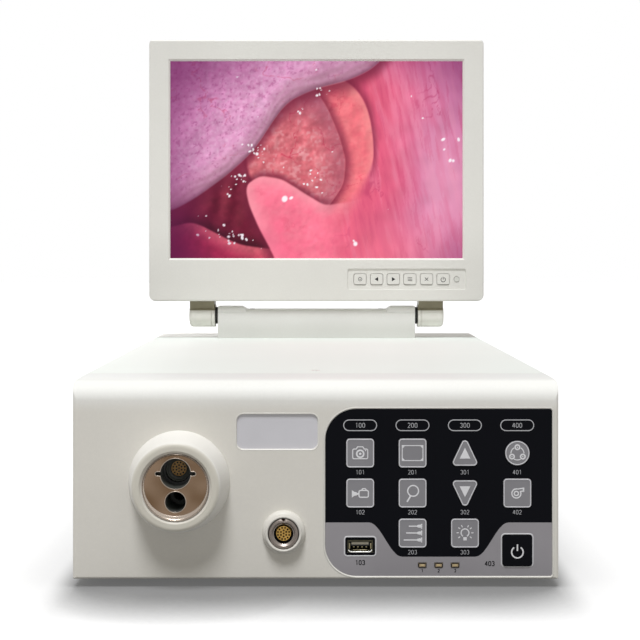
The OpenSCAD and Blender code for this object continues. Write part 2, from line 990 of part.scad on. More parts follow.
module base_tray() {
  half = body_w / 2 - lip_inset;
  color([0.78, 0.79, 0.78])
  difference() {
    union() {
      block(-half, half, cover_y, cover_end_y, base_z, base_z + sheet_t);
      tray_flange(-1);
      tray_flange(1);
      at_standoffs()
        rod_z(0, 0, base_z, sheet_t + standoff_h, standoff_r);
    }
    from_top(base_z - overrun, sheet_t + 2 * overrun)
      for (i = [0:slot_count - 1])
        centred_rect((i - slot_count / 2) * slot_pitch, cover_y + slot_l, slot_w, slot_l, slot_w / 2);
    at_side_screws()
      countersunk_body(screw_l + overrun, fit_gap);
  }
}

module rear_frame() {
  inner_r = max(case_corner_r - frame_wall, inner_corner_r);
  ledge = frame_wall + panel_screw_inset;
  color([0.80, 0.80, 0.79])
  difference() {
    union() {
      difference() {
        from_front(frame_y, rear_frame_d)
          corner_rect(
            left_x, right_x, base_z, top_z,
            foot_edge_r, foot_edge_r, case_corner_r, case_corner_r
          );
        from_front(frame_y - overrun, rear_frame_d + 2 * overrun)
          corner_rect(
            left_x + frame_wall, right_x - frame_wall, base_z + frame_wall, top_z - frame_wall,
            inner_r, inner_r, inner_r, inner_r
          );
      }
      cover_lip(frame_y - lip_l, 2 * lip_l);
      for (side = [-1, 1])
        for (z = [base_z + frame_wall / 2, top_z - frame_wall / 2 - 2 * panel_screw_inset])
          block(
            side * (body_w / 2 - ledge - panel_screw_inset), side * (body_w / 2 - frame_wall / 2),
            panel_in_y - screw_l, panel_in_y, z, z + 2 * panel_screw_inset
          );
    }
    at_panel_screws()
      countersunk_body(screw_l + overrun, fit_gap);
  }
}

module at_fan_holes() {
  reach = fan_w / 2 - fan_hole_inset;
  for (dx = [-reach, reach])
    for (dz = [-reach, reach])
      translate([fan_x + dx, 0, fan_z + dz])
        children();
}

module at_jacks() {
  for (i = [0, 1])
    translate([jack_x + i * jack_pitch, 0, jack_z])
      children();
}

module rear_panel() {
  inset = frame_wall + slip_gap;
  r = max(case_corner_r - frame_wall, inner_corner_r);
  color([0.74, 0.75, 0.75])
  difference() {
    from_front(panel_in_y, panel_t)
      corner_rect(left_x + inset, right_x - inset, base_z + inset, top_z - inset, r, r, r, r);
    rod_y(fan_x, panel_in_y - overrun, fan_z, panel_t + 2 * overrun, fan_bore_r);
    at_fan_holes()
      rod_y(0, panel_in_y - overrun, 0, panel_t + 2 * overrun, fan_hole_r);
    from_front(panel_in_y - overrun, panel_t + 2 * overrun) {
      centred_rect(inlet_x, inlet_z, inlet_w, inlet_h, 0);
      centred_rect(port_x, port_z, port_shell_w + 2 * slip_gap, port_shell_h + 2 * slip_gap, port_shell_r);
    }
    at_jacks()
      rod_y(0, panel_in_y - overrun, 0, panel_t + 2 * overrun, jack_barrel_r + slip_gap);
    at_panel_screws()
      screw_seat();
  }
}

module feet() {
  xs = [left_x + foot_inset, right_x - foot_inset];
  ys = [cover_y + foot_inset, cover_end_y - foot_inset];
  color([0.10, 0.10, 0.10])
  for (x = xs)
    for (y = ys)
      translate([x, y, 0])
        cylinder(h = foot_h, r1 = foot_r * foot_taper_share, r2 = foot_r);
}

module case_screws() {
  color([0.70, 0.70, 0.71]) {
    at_side_screws()
      countersunk_screw();
    at_top_screw()
      countersunk_screw();
    at_panel_screws()
      countersunk_screw();
    at_neck_screws()
      countersunk_screw();
    at_fan_holes() {
      rod_y(0, guard_back_y, 0, fan_screw_head_h, fan_screw_head_r);
      rod_y(0, guard_back_y - fan_screw_l, 0, fan_screw_l, screw_r);
    }
  }
}

module scope_collar() {
  inner = scope_block_r + slip_gap;
  color([0.90, 0.90, 0.88])
  turned_y(scope_x, front_y, scope_z)
    difference() {
      polygon([
        [inner, bezel_wall], [scope_spigot_r, bezel_wall], [scope_spigot_r, 0],
        [scope_base_r, 0], [scope_lip_r, scope_lip_round - scope_collar_d],
        [scope_lip_r, -scope_collar_d], [inner + scope_recess, -scope_collar_d],
        [inner, scope_recess - scope_collar_d]
      ]);
      corner_cut(scope_lip_r, -scope_collar_d, -1, 1, scope_lip_round);
    }
}

module scope_socket_block() {
  color([0.72, 0.72, 0.73])
  difference() {
    union() {
      rod_y(scope_x, scope_face_y, scope_z, wall_back_y - scope_face_y, scope_block_r);
      rod_y(scope_x, wall_back_y, scope_z, scope_flange_d, scope_flange_r);
    }
    rod_y(scope_x, scope_face_y - overrun, plug_z, plug_bore_l + overrun, plug_bore_r);
    rod_y(
      scope_x, sleeve_y, plug_z,
      scope_block_end_y - sleeve_y + overrun, plug_bore_r + plug_step
    );
    block(
      scope_x - key_slot_w / 2, scope_x + key_slot_w / 2, scope_face_y - overrun,
      scope_face_y + plug_bore_l / 2, plug_z - key_slot_h / 2, plug_z + key_slot_h / 2
    );
    rod_y(scope_x, scope_face_y - overrun, guide_z, guide_bore_l + overrun, guide_bore_r);
    rod_y(scope_x, scope_face_y, guide_z, scope_block_end_y - scope_face_y + overrun, light_r);
  }
}

module scope_plug_sleeve() {
  outer = plug_bore_r + plug_step - fit_gap;
  inner = plug_bore_r - fit_gap - sleeve_t;
  length = scope_block_end_y - sleeve_y;
  color([0.09, 0.09, 0.10])
  difference() {
    rod_y(scope_x, sleeve_y, plug_z, length, outer);
    rod_y(scope_x, sleeve_y - overrun, plug_z, length + 2 * overrun, inner);
  }
}

module scope_pin_insert() {
  outer = plug_bore_r - sleeve_t - 2 * fit_gap;
  color([0.78, 0.62, 0.28]) {
    rod_y(scope_x, contact_block_y, plug_z, scope_block_end_y - contact_block_y, outer);
    for (ring = [[9, outer_pin_share], [4, inner_pin_share]])
      for (i = [0:ring[0] - 1])
        let (a = 360 * i / ring[0] + 90)
        rod_y(
          scope_x + outer * ring[1] * cos(a), contact_block_y - contact_pin_l,
          plug_z + outer * ring[1] * sin(a), contact_pin_l + contact_pin_r, contact_pin_r
        );
  }
}

module light_guide_tube() {
  color([0.66, 0.66, 0.67])
  difference() {
    rod_y(scope_x, scope_block_end_y, guide_z, guide_tube_l, light_r + guide_tube_t);
    rod_y(scope_x, scope_block_end_y - overrun, guide_z, guide_tube_l + 2 * overrun, light_r);
  }
}

module camera_collar() {
  inner = camera_ring_r + slip_gap;
  round_r = camera_collar_r - inner - slip_gap;
  color([0.90, 0.90, 0.88])
  turned_y(camera_x, front_y, camera_z)
    corner_rect(inner, camera_collar_r, -camera_collar_d, 0, 0, round_r, 0, 0);
}

module camera_socket_shell() {
  r = camera_ring_r;
  edge = camera_ring_edge_r;
  back_r = camera_bore_r - camera_step;
  color([0.74, 0.74, 0.75]) {
    difference() {
      turned_y(camera_x, front_y, camera_z) {
        polygon([
          [camera_bore_r, -camera_ring_d], [r - edge, -camera_ring_d],
          [r - edge, edge - camera_ring_d], [r, edge - camera_ring_d], [r, 0],
          [camera_barrel_r, 0], [camera_barrel_r, camera_barrel_l],
          [back_r, camera_barrel_l], [back_r, camera_insert_d - camera_ring_d],
          [camera_bore_r, camera_insert_d - camera_ring_d]
        ]);
        translate([r - edge, edge - camera_ring_d])
          circle(edge);
      }
      block(
        camera_x - camera_key_w / 2, camera_x + camera_key_w / 2, camera_front_y - overrun, front_y,
        camera_z, camera_z + camera_bore_r + camera_key_w / 2
      );
    }
    difference() {
      translate([camera_x, wall_back_y, camera_z])
        rotate([-90, 0, 0])
          cylinder(h = camera_nut_t, r = camera_nut_r, $fn = 6);
      rod_y(
        camera_x, wall_back_y - overrun, camera_z,
        camera_nut_t + 2 * overrun, camera_barrel_r + fit_gap
      );
    }
  }
}

module camera_socket_insert() {
  end_y = front_y + camera_barrel_l;
  seat_r = camera_bore_r - camera_step - fit_gap;
  color([0.80, 0.64, 0.30])
  difference() {
    union() {
      rod_y(camera_x, camera_insert_y, camera_z, end_y - camera_insert_y, camera_insert_r);
      rod_y(camera_x, end_y - camera_seat_l, camera_z, camera_seat_l, seat_r);
    }
    for (ring = [[1, 0], [6, inner_ring_r], [12, outer_ring_r]])
      for (i = [0:ring[0] - 1])
        let (a = 360 * i / ring[0])
        rod_y(
          camera_x + ring[1] * sin(a), camera_insert_y - overrun, camera_z + ring[1] * cos(a),
          contact_hole_d + overrun, contact_hole_r
        );
  }
}

module name_plate() {
  color([0.80, 0.80, 0.84])
  from_front(front_y + plate_recess, plate_t)
    plate_view(0);
}

module keypad_film() {
  color([0.06, 0.07, 0.09]) {
    from_front(film_y, film_t)
      difference() {
        keypad_view(0);
        band_region();
        all_key_views(move_gap);
      }
    from_front(film_y + film_t / 2, film_t / 2)
      difference() {
        centred_rect(usb_x, usb_z, usb_frame_w, usb_frame_h, usb_frame_r);
        centred_rect(
          usb_x, usb_z, usb_flare_w + 2 * slip_gap, usb_flare_h + 2 * slip_gap, 0
        );
      }
  }
}

module keypad_band() {
  color([0.55, 0.55, 0.56])
  from_front(film_y, film_t)
    difference() {
      intersection() {
        keypad_view(0);
        band_region();
      }
      all_key_views(move_gap);
      led_views(slip_gap);
      centred_rect(
        usb_x, usb_z, usb_frame_w + 2 * fit_gap, usb_frame_h + 2 * fit_gap,
        usb_frame_r + fit_gap
      );
    }
}

// Where the key switches stand on the keypad board
module at_key_switches() {
  for (k = keys)
    translate([column_x(k[1]), 0, row_z(k[2])])
      children();
  translate([power_x, 0, power_z])
    children();
}

module keypad_board() {
  color([0.10, 0.36, 0.20]) {
    block(
      keypad_x0 + board_margin, keypad_x1 - board_margin, keypad_board_y, keypad_board_y + board_t,
      keypad_z0 + board_margin, keypad_z1 - board_margin
    );
    at_key_switches() {
      block(
        -switch_w / 2, switch_w / 2, keypad_board_y - switch_d, keypad_board_y,
        -switch_w / 2, switch_w / 2
      );
      rod_y(0, keypad_board_y - switch_d - plunger_l, 0, plunger_l + board_t, plunger_r);
    }
  }
}

module usb_shell() {
  back_w = usb_shell_w - 2 * usb_shell_t;
  back_h = usb_shell_h - 2 * usb_shell_t;
  flare = 2 * usb_shell_t;
  color([0.75, 0.75, 0.76])
  difference() {
    union() {
      from_front(film_y, usb_flare_d)
        centred_rect(usb_x, usb_z, usb_flare_w, usb_flare_h, 0);
      from_front(film_y, keypad_board_y - film_y)
        centred_rect(usb_x, usb_z, usb_shell_w, usb_shell_h, 0);
    }
    from_front(film_y - overrun, overrun + usb_flare_d - usb_shell_t)
      centred_rect(usb_x, usb_z, usb_flare_w - flare, usb_flare_h - flare, 0);
    from_front(film_y, keypad_board_y - film_y - usb_shell_t)
      centred_rect(usb_x, usb_z, back_w, back_h, 0);
  }
}

module usb_tongue() {
  back_w = usb_shell_w - 2 * usb_shell_t - 2 * fit_gap;
  back_h = usb_shell_h - 2 * usb_shell_t - 2 * fit_gap;
  seat_y = keypad_board_y - usb_shell_t;
  top = usb_z + back_h / 2 - usb_shell_t;
  color([0.07, 0.07, 0.08]) {
    from_front(seat_y - usb_seat_l, usb_seat_l)
      centred_rect(usb_x, usb_z, back_w, back_h, 0);
    block(
      usb_x - usb_tongue_w / 2, usb_x + usb_tongue_w / 2,
      film_y + usb_flare_d, seat_y, top - usb_tongue_t, top
    );
  }
}

module status_leds() {
  color([0.93, 0.80, 0.55])
  from_front(film_y - slip_gap, keypad_board_y - film_y + slip_gap)
    led_views(0);
}

// A key cap with its skirt behind the wall and its stem to the switch
module front_key(kind, x, z) {
  stem_y = key_skirt_y + key_skirt_t;
  stem_end_y = keypad_board_y - switch_d - plunger_l - key_travel - move_gap;
  from_front(key_front_y, key_skirt_y - key_front_y)
    translate([x, z])
      key_view(kind, 0);
  from_front(key_skirt_y, key_skirt_t)
    translate([x, z])
      key_view(kind, key_skirt_rim);
  rod_y(x, stem_y, z, stem_end_y - stem_y, key_stem_r);
}

module key_power() {
  color([0.06, 0.06, 0.07])
  front_key("power", power_x, power_z);
}

module main_board() {
  z = base_z + sheet_t + standoff_h;
  top = z + board_t;
  x0 = main_board_x0;
  x1 = main_board_x0 + main_board_w;
  y1 = main_board_y1;
  y0 = main_board_y1 - main_board_l;
  sink_x0 = x1 - sink_w - chip_w / 2;
  sink_y0 = y1 - 2 * sink_w;
  color([0.10, 0.36, 0.20]) {
    block(x0, x1, y0, y1, z, top);
    for (i = [0:2])
      let (x = x0 + chip_w / 2 + i * chip_pitch)
      block(x, x + chip_w, y0 + chip_w, y0 + 2 * chip_w, top - board_t / 2, top + chip_h);
    block(sink_x0, sink_x0 + sink_w, sink_y0, sink_y0 + sink_w, top - board_t / 2, top + chip_h);
    for (i = [0:sink_fins - 1])
      let (x = sink_x0 + i * (sink_w - fin_t) / (sink_fins - 1))
      block(x, x + fin_t, sink_y0, sink_y0 + sink_w, top, top + sink_h);
  }
}

module power_supply() {
  z = base_z + sheet_t;
  x0 = left_x + psu_gap;
  y1 = frame_y - lip_l - psu_gap;
  color([0.70, 0.71, 0.72])
  difference() {
    block(x0, x0 + psu_w, y1 - psu_l, y1, z, z + psu_h);
    block(
      x0 + psu_gap, x0 + psu_w - psu_gap, y1 - psu_gap, y1 + overrun,
      z + terminal_h, z + psu_h + overrun
    );
    for (i = [0:slot_count - 1])
      block(
        x0 + psu_gap, x0 + psu_w - psu_gap,
        y1 - psu_l + (i + 1) * slot_pitch, y1 - psu_l + (i + 1) * slot_pitch + slot_w,
        z + psu_h - slot_w, z + psu_h + overrun
      );
  }
}

module lamp_module() {
  x0 = scope_x - lamp_block_w / 2;
  z0 = guide_z - lamp_block_w / 2;
  y0 = lamp_y + lamp_nose_l;
  floor_z = base_z + sheet_t;
  color([0.30, 0.31, 0.33]) {
    difference() {
      rod_y(scope_x, lamp_y, guide_z, lamp_nose_l + fin_t, lamp_nose_r);
      rod_y(scope_x, lamp_y - overrun, guide_z, lamp_nose_l + overrun, light_r);
    }
    rod_y(scope_x, y0, guide_z, lamp_block_l, lamp_core_r);
    for (i = [0:lamp_fins - 1])
      let (x = x0 + i * (lamp_block_w - fin_t) / (lamp_fins - 1))
      block(x, x + fin_t, y0, y0 + lamp_block_l, z0, z0 + lamp_block_w);
    block(x0, x0 + lamp_block_w, y0, y0 + lamp_block_l, z0, z0 + fin_t);
    for (side = [-1, 1])
      block(
        scope_x + side * (bracket_w / 2 - bracket_t), scope_x + side * bracket_w / 2,
        y0, y0 + lamp_block_l, floor_z, z0 + fin_t
      );
    block(
      scope_x - bracket_w / 2, scope_x + bracket_w / 2, y0, y0 + lamp_block_l,
      floor_z, floor_z + bracket_t
    );
  }
}

module air_pump() {
  floor_z = base_z + sheet_t;
  half = pump_head_w / 2;
  color([0.22, 0.23, 0.25]) {
    block(pump_x - half, pump_x + half, pump_head_y, pump_head_y + pump_head_l, pump_z - half, pump_z + half);
    rod_y(pump_x, pump_head_y, pump_z, pump_head_l + pump_motor_l, pump_motor_r);
    for (side = [-1, 1])
      block(
        pump_x + side * (half - bracket_t), pump_x + side * half,
        pump_head_y, pump_head_y + pump_head_l, floor_z, pump_z
      );
    block(
      pump_x - half, pump_x + half, pump_head_y, pump_head_y + pump_head_l,
      floor_z, floor_z + bracket_t
    );
  }
}

// Hose line: back from the scope socket, round a quarter bend and across to the pump
module hose_line(r, extra) {
  y0 = scope_block_end_y;
  y1 = pump_head_y + pump_head_l / 2 - hose_bend_r;
  x1 = pump_x - pump_head_w / 2;
  rod_y(hose_x, y0 - extra, scope_z, y1 - y0 + extra, r);
  translate([hose_x + hose_bend_r, y1, scope_z])
    rotate([0, 0, 90])
      rotate_extrude(angle = 90)
        translate([hose_bend_r, 0])
          circle(r);
  rod_x(hose_x + hose_bend_r, y1 + hose_bend_r, scope_z, x1 - hose_x - hose_bend_r + extra, r);
}

module air_hose() {
  color([0.82, 0.84, 0.86])
  difference() {
    hose_line(hose_r, 0);
    hose_line(hose_bore_r, overrun);
  }
}

module fan_frame() {
  y0 = panel_in_y - fan_d;
  half = fan_w / 2;
  color([0.10, 0.10, 0.11]) {
    difference() {
      from_front(y0, fan_d)
        centred_rect(fan_x, fan_z, fan_w, fan_w, fan_corner_r);
      rod_y(fan_x, y0 - overrun, fan_z, fan_d + 2 * overrun, fan_bore_r);
      at_fan_holes()
        rod_y(0, y0 - overrun, 0, fan_d + 2 * overrun, fan_hole_r);
    }
    rod_y(fan_x, y0, fan_z, fan_hub_plate_t, fan_hub_r);
    rod_y(fan_x, y0, fan_z, fan_d - fan_hub_plate_t, fan_shaft_r);
    for (a = [0:90:270])
      translate([fan_x, y0, fan_z])
        rotate([0, a, 0])
          block(-fan_strut_w / 2, fan_strut_w / 2, 0, fan_hub_plate_t, 0, half - fan_strut_w / 4);
  }
}

module fan_rotor() {
  y0 = panel_in_y - fan_d + fan_hub_plate_t + move_gap;
  l = panel_in_y - y0 - move_gap;
  tip_r = fan_bore_r - fan_tip_gap;
  color([0.14, 0.14, 0.15])
  difference() {
    union() {
      rod_y(fan_x, y0, fan_z, l, fan_hub_r);
      intersection() {
        rod_y(fan_x, y0, fan_z, l, tip_r);
        for (i = [0:blade_count - 1])
          translate([fan_x, y0 + l / 2, fan_z])
            rotate([0, 360 * i / blade_count, 0])
              rotate([0, 0, blade_tilt])
                block(-fan_d / 2, fan_d / 2, -blade_t / 2, blade_t / 2, 0, fan_w);
      }
    }
    rod_y(fan_x, y0 - overrun, fan_z, l + 2 * overrun, fan_shaft_r + fit_gap);
  }
}

module fan_guard() {
  reach = fan_w / 2 - fan_hole_inset;
  wire_y = panel_y + guard_wire_r;
  color([0.78, 0.78, 0.80])
  difference() {
    union() {
      for (i = [1:guard_rings])
        turned_y(fan_x, wire_y, fan_z)
          translate([i * guard_pitch, 0])
            circle(guard_wire_r);
      for (a = [45:90:315])
        translate([fan_x, wire_y + guard_spoke_rise, fan_z])
          rotate([0, a, 0])
            cylinder(h = norm([reach, reach]) - fan_screw_head_r - slip_gap, r = guard_wire_r);
      at_fan_holes()
        rod_y(0, panel_y, 0, 2 * guard_wire_r, guard_eye_r);
    }
    at_fan_holes()
      rod_y(0, panel_y - overrun, 0, 2 * guard_wire_r + 2 * overrun, fan_hole_r);
  }
}

// Places in the inlet module, from its lower edge up
inlet_face_y = panel_y + inlet_flange_t;
cavity_z = inlet_z - inlet_h / 2 + inlet_rim + cavity_h / 2;
drawer_z = cavity_z + cavity_h / 2 + inlet_rim + drawer_h / 2;
rocker_z = drawer_z + drawer_h / 2 + inlet_rim + rocker_h / 2;
rocker_r = rocker_h / 2 - move_gap / 3;
rocker_y = inlet_face_y - rocker_pivot_depth;

module mains_inlet() {
  w = inlet_w + 2 * inlet_flange_rim;
  h = inlet_h + 2 * inlet_flange_rim;
  color([0.08, 0.08, 0.08]) {
    difference() {
      union() {
        from_front(panel_y, inlet_flange_t)
          centred_rect(inlet_x, inlet_z, w, h, inlet_corner_r);
        from_front(panel_in_y - inlet_body_d, inlet_body_d + panel_t)
          centred_rect(inlet_x, inlet_z, inlet_w - 2 * slip_gap, inlet_h - 2 * slip_gap, 0);
      }
      from_front(inlet_face_y - cavity_d, cavity_d + overrun)
        corner_rect(
          inlet_x - cavity_w / 2, inlet_x + cavity_w / 2,
          cavity_z - cavity_h / 2, cavity_z + cavity_h / 2,
          0, 0, cavity_r, cavity_r
        );
      from_front(inlet_face_y - drawer_l - move_gap, drawer_l + move_gap + overrun)
        centred_rect(inlet_x, drawer_z, drawer_w + 2 * move_gap, drawer_h + 2 * move_gap, 0);
      from_front(inlet_face_y - rocker_d, rocker_d + overrun)
        centred_rect(inlet_x, rocker_z, rocker_w + 2 * move_gap, rocker_h + 2 * move_gap, 0);
      rod_x(
        inlet_x - rocker_w / 2 - rocker_pivot_l - move_gap, rocker_y, rocker_z,
        rocker_w + 2 * rocker_pivot_l + 2 * move_gap, rocker_pivot_r + fit_gap
      );
    }
    for (pin = [[-1, -1], [1, -1], [0, 1]])
      let (x = inlet_x + pin[0] * contact_pitch, z = cavity_z + pin[1] * contact_rise)
      block(
        x - contact_w / 2, x + contact_w / 2, inlet_face_y - cavity_d - overrun,
        inlet_face_y - cavity_d + contact_l, z - contact_h / 2, z + contact_h / 2
      );
  }
}

module mains_switch() {
  end_y = rocker_dip + rocker_r * tan(2 * rocker_tilt);
  color([0.12, 0.12, 0.13])
  translate([0, rocker_y, rocker_z])
    rotate([-rocker_tilt, 0, 0]) {
      from_side(inlet_x - rocker_w / 2, rocker_w)
        intersection() {
          circle(rocker_r);
          polygon([
            [-rocker_h, -rocker_h], [end_y, -rocker_r], [rocker_dip, 0], [end_y, rocker_r],
            [-rocker_h, rocker_h]
          ]);
        }
      rod_x(
        inlet_x - rocker_w / 2 - rocker_pivot_l, 0, 0,
        rocker_w + 2 * rocker_pivot_l, rocker_pivot_r
      );
    }
}

module fuse_drawer() {
  fuse_z = drawer_z + drawer_h / 2 - fuse_r;
  fuse_y = inlet_face_y - drawer_l + drawer_face_t;
  color([0.10, 0.10, 0.10]) {
    difference() {
      union() {
        from_front(inlet_face_y - drawer_l, drawer_l + move_gap)
          centred_rect(inlet_x, drawer_z, drawer_w, drawer_h, 0);
        from_front(inlet_face_y + move_gap, drawer_face_t)
          centred_rect(inlet_x, drawer_z, drawer_w + inlet_rim, drawer_h + inlet_rim / 2, 0);
        block(
          inlet_x - finger_w / 2, inlet_x + finger_w / 2, inlet_face_y + move_gap,
          inlet_face_y + move_gap + drawer_face_t + finger_t,
          drawer_z + drawer_h / 2 - finger_t, drawer_z + drawer_h / 2
        );
      }
      rod_y(inlet_x, fuse_y - fit_gap, fuse_z, fuse_l + 2 * fit_gap, fuse_r + fit_gap);
      block(
        inlet_x - fuse_r - fit_gap, inlet_x + fuse_r + fit_gap, fuse_y - fit_gap,
        fuse_y + fuse_l + fit_gap, fuse_z, fuse_z + fuse_r + overrun
      );
    }
    rod_y(inlet_x, fuse_y, fuse_z, fuse_l, fuse_r);
  }
}

module rear_jacks() {
  color([0.72, 0.72, 0.73]) {
    at_jacks() {
      difference() {
        union() {
          translate([0, panel_y, 0])
            rotate([-90, 0, 0])
              cylinder(h = jack_hex_t, r = jack_hex_r, $fn = 6);
          rod_y(0, panel_y - panel_t - jack_thread_l, 0, panel_t + jack_thread_l + jack_l, jack_barrel_r);
          rod_x(
            -jack_barrel_r - jack_lug_r, panel_y + jack_l - jack_lug_inset, 0,
            2 * (jack_barrel_r + jack_lug_r), jack_lug_r
          );
        }
        rod_y(0, panel_y + jack_l - jack_bore_d, 0, jack_bore_d + overrun, jack_bore_r);
      }
      difference() {
        rod_y(0, panel_y + jack_l - jack_bore_d - overrun, 0, jack_bore_d, jack_core_r);
        rod_y(0, panel_y, 0, jack_l, jack_pin_r);
      }
    }
    from_front(panel_y, port_plate_t)
      centred_rect(port_x, port_z, port_plate_w, port_plate_h, port_shell_r);
    difference() {
      from_front(panel_in_y - port_body_d, port_body_d + panel_t + port_shell_l)
        centred_rect(port_x, port_z, port_shell_w, port_shell_h, port_shell_r);
      for (row = [-1, 0, 1])
        for (i = [0:4])
          rod_y(
            port_x + (i - 2 + row / 4) * port_hole_pitch,
            panel_y + port_shell_l - port_hole_d, port_z + row * port_hole_pitch,
            port_hole_d + overrun, port_hole_r
          );
    }
    for (side = [-1, 1])
      translate([port_x + side * port_post_pitch / 2, panel_y, port_z])
        rotate([-90, 0, 0])
          cylinder(h = port_post_l, r = port_post_r, $fn = 6);
  }
}

// Rounded outline of the monitor in the front view, drawn in by inset
module monitor_view(inset) {
  top_r = max(mon_top_r - inset, inner_corner_r);
  low_r = max(mon_low_r - inset, inner_corner_r);
  corner_rect(
    inset - mon_x, mon_x - inset, mon_z + inset, mon_top_z - inset,
    low_r, low_r, top_r, top_r
  );
}

// Part of the monitor's outer form between two depths, with rounded front and rear edges
module monitor_slab(y0, y1, front_r, rear_r) {
  past_front = front_r > 0 ? 0 : overrun;
  past_rear = rear_r > 0 ? 0 : overrun;
  intersection() {
    from_front(y0, y1 - y0)
      monitor_view(0);
    from_side(-mon_x - overrun, mon_w + 2 * overrun)
      corner_rect(
        y0 - past_front, y1 + past_rear, mon_z, mon_top_z,
        front_r, rear_r, rear_r, front_r
      );
    from_top(mon_z - overrun, mon_h + 2 * overrun)
      corner_rect(
        -mon_x, mon_x, y0 - past_front, y1 + past_rear,
        front_r, front_r, rear_r, rear_r
      );
  }
}

// The screen opening, wider at the front by its bevel
module screen_opening() {
  from_front(mon_y - overrun, mon_wall + 2 * overrun)
    corner_rect(-screen_x, screen_x, screen_z0, screen_z1, 0, 0, 0, 0);
  hull() {
    block(
      -screen_x - screen_bevel, screen_x + screen_bevel, mon_y - overrun, mon_y,
      screen_z0 - screen_bevel, screen_z1 + screen_bevel
    );
    block(-screen_x, screen_x, mon_y - overrun, mon_y + mon_wall / 2, screen_z0, screen_z1);
  }
}

module at_buttons() {
  for (i = [0:button_count - 1])
    translate([button_x(i), 0, strip_z])
      children();
}

module monitor_front() {
  color([0.88, 0.87, 0.85]) {
    difference() {
      monitor_slab(mon_y, mon_split_y, mon_edge_r, 0);
      from_front(lcd_y, mon_front_d)
        monitor_view(mon_wall);
      screen_opening();
      from_front(mon_y - overrun, overrun + strip_recess)
        corner_rect(
          strip_x0, strip_x1, strip_z - strip_h / 2, strip_z + strip_h / 2,
          strip_r, strip_r, strip_r, strip_r
        );
      from_front(mon_y, mon_wall + overrun)
        for (i = [0:button_count - 1])
          centred_rect(
            button_x(i), strip_z, button_w + 2 * move_gap, button_h + 2 * move_gap,
            button_r + move_gap
          );
      rod_y(mon_led_x, mon_y, strip_z, mon_wall + overrun, mon_led_r + slip_gap);
    }
    for (i = [0, button_count - 2])
      rod_y(
        button_x(i) + button_pitch / 2, lcd_y - slip_gap, strip_z + strip_h / 2 - strip_boss_r,
        strip_board_gap + slip_gap, strip_boss_r
      );
  }
}

module at_board_bosses() {
  for (side = [-1, 1])
    for (up = [-1, 1])
      translate([
        side * (mon_board_w / 2 - board_hole_inset), 0,
        (mon_z + mon_top_z) / 2 + up * (mon_board_h / 2 - board_hole_inset)
      ])
        children();
}

module tongue_views(grow) {
  mid_y = (mon_split_y + mon_back_y) / 2;
  for (side = [-1, 1])
    block(
      side * (knuckle_x + tongue_inset - grow), side * (knuckle_x + knuckle_l - tongue_inset + grow),
      mid_y - tongue_t / 2 - grow, mid_y + tongue_t / 2 + grow,
      mon_z - grow, mon_z + tongue_h
    );
}

module monitor_back() {
  color([0.88, 0.87, 0.85]) {
    difference() {
      monitor_slab(mon_split_y, mon_back_y, 0, mon_back_r);
      from_front(mon_split_y - overrun, mon_back_y - mon_split_y - mon_wall + overrun)
        monitor_view(mon_wall);
      from_front(mon_back_y - mon_wall - overrun, mon_wall + 2 * overrun)
        for (i = [0:vent_count - 1])
          centred_rect(
            (i - (vent_count - 1) / 2) * vent_pitch, mon_top_z - vent_top_gap,
            vent_w, vent_l, vent_w / 2
          );
      tongue_views(slip_gap);
    }
    at_board_bosses()
      rod_y(0, mon_board_y + board_t, 0, mon_boss_l + slip_gap, boss_r);
  }
}

module lcd_panel() {
  color([0.75, 0.42, 0.45])
  block(
    -screen_x - lcd_rim, screen_x + lcd_rim, lcd_y, lcd_y + lcd_t,
    screen_z0 - lcd_rim_h, screen_z1 + lcd_rim_h
  );
}

module monitor_board() {
  mid_z = (mon_z + mon_top_z) / 2;
  color([0.10, 0.36, 0.20]) {
    block(
      -mon_board_w / 2, mon_board_w / 2, mon_board_y, mon_board_y + board_t,
      mid_z - mon_board_h / 2, mid_z + mon_board_h / 2
    );
    for (i = [-1, 0, 1])
      block(
        i * mon_chip_pitch - mon_chip_w / 2, i * mon_chip_pitch + mon_chip_w / 2,
        mon_board_y - mon_chip_h, mon_board_y + board_t / 2,
        mid_z - mon_chip_w / 2, mid_z + mon_chip_w / 2
      );
    block(
      strip_x0, strip_x1, strip_board_y, strip_board_y + strip_board_t,
      strip_z - strip_h / 2, strip_z + strip_h / 2
    );
    at_buttons() {
      block(
        -strip_switch_w / 2, strip_switch_w / 2,
        strip_board_y - button_switch_d, strip_board_y + strip_board_t / 2,
        -strip_switch_w / 2, strip_switch_w / 2
      );
      rod_y(
        0, strip_board_y - button_switch_d - button_plunger_l, 0,
        button_plunger_l + strip_board_t, button_stem_r
      );
    }
  }
}

module monitor_led() {
  color([0.80, 0.82, 0.80])
  rod_y(mon_led_x, mon_led_y, strip_z, strip_board_y - mon_led_y, mon_led_r);
}

// A button of the monitor with its skirt behind the wall and its stem to the switch
module monitor_button(i) {
  x = button_x(i);
  skirt_end_y = button_skirt_y + button_skirt_t;
  stem_end_y = strip_board_y - button_switch_d - button_plunger_l - button_travel - move_gap;
  color([0.90, 0.90, 0.88]) {
    from_front(button_front_y, button_skirt_y - button_front_y)
      centred_rect(x, strip_z, button_w, button_h, button_r);
    from_front(button_skirt_y, button_skirt_t)
      centred_rect(
        x, strip_z, button_w + 2 * button_skirt_rim, button_h + 2 * button_skirt_rim, button_r
      );
    rod_y(x, skirt_end_y, strip_z, stem_end_y - skirt_end_y, button_stem_r);
  }
}

// Side view of the neck up to a height, rounded along its upper edges
module neck_side_view(z1) {
  corner_rect(
    neck_y0, neck_y0 + neck_d, top_z, z1,
    0, 0, neck_round / 2, neck_round
  );
}

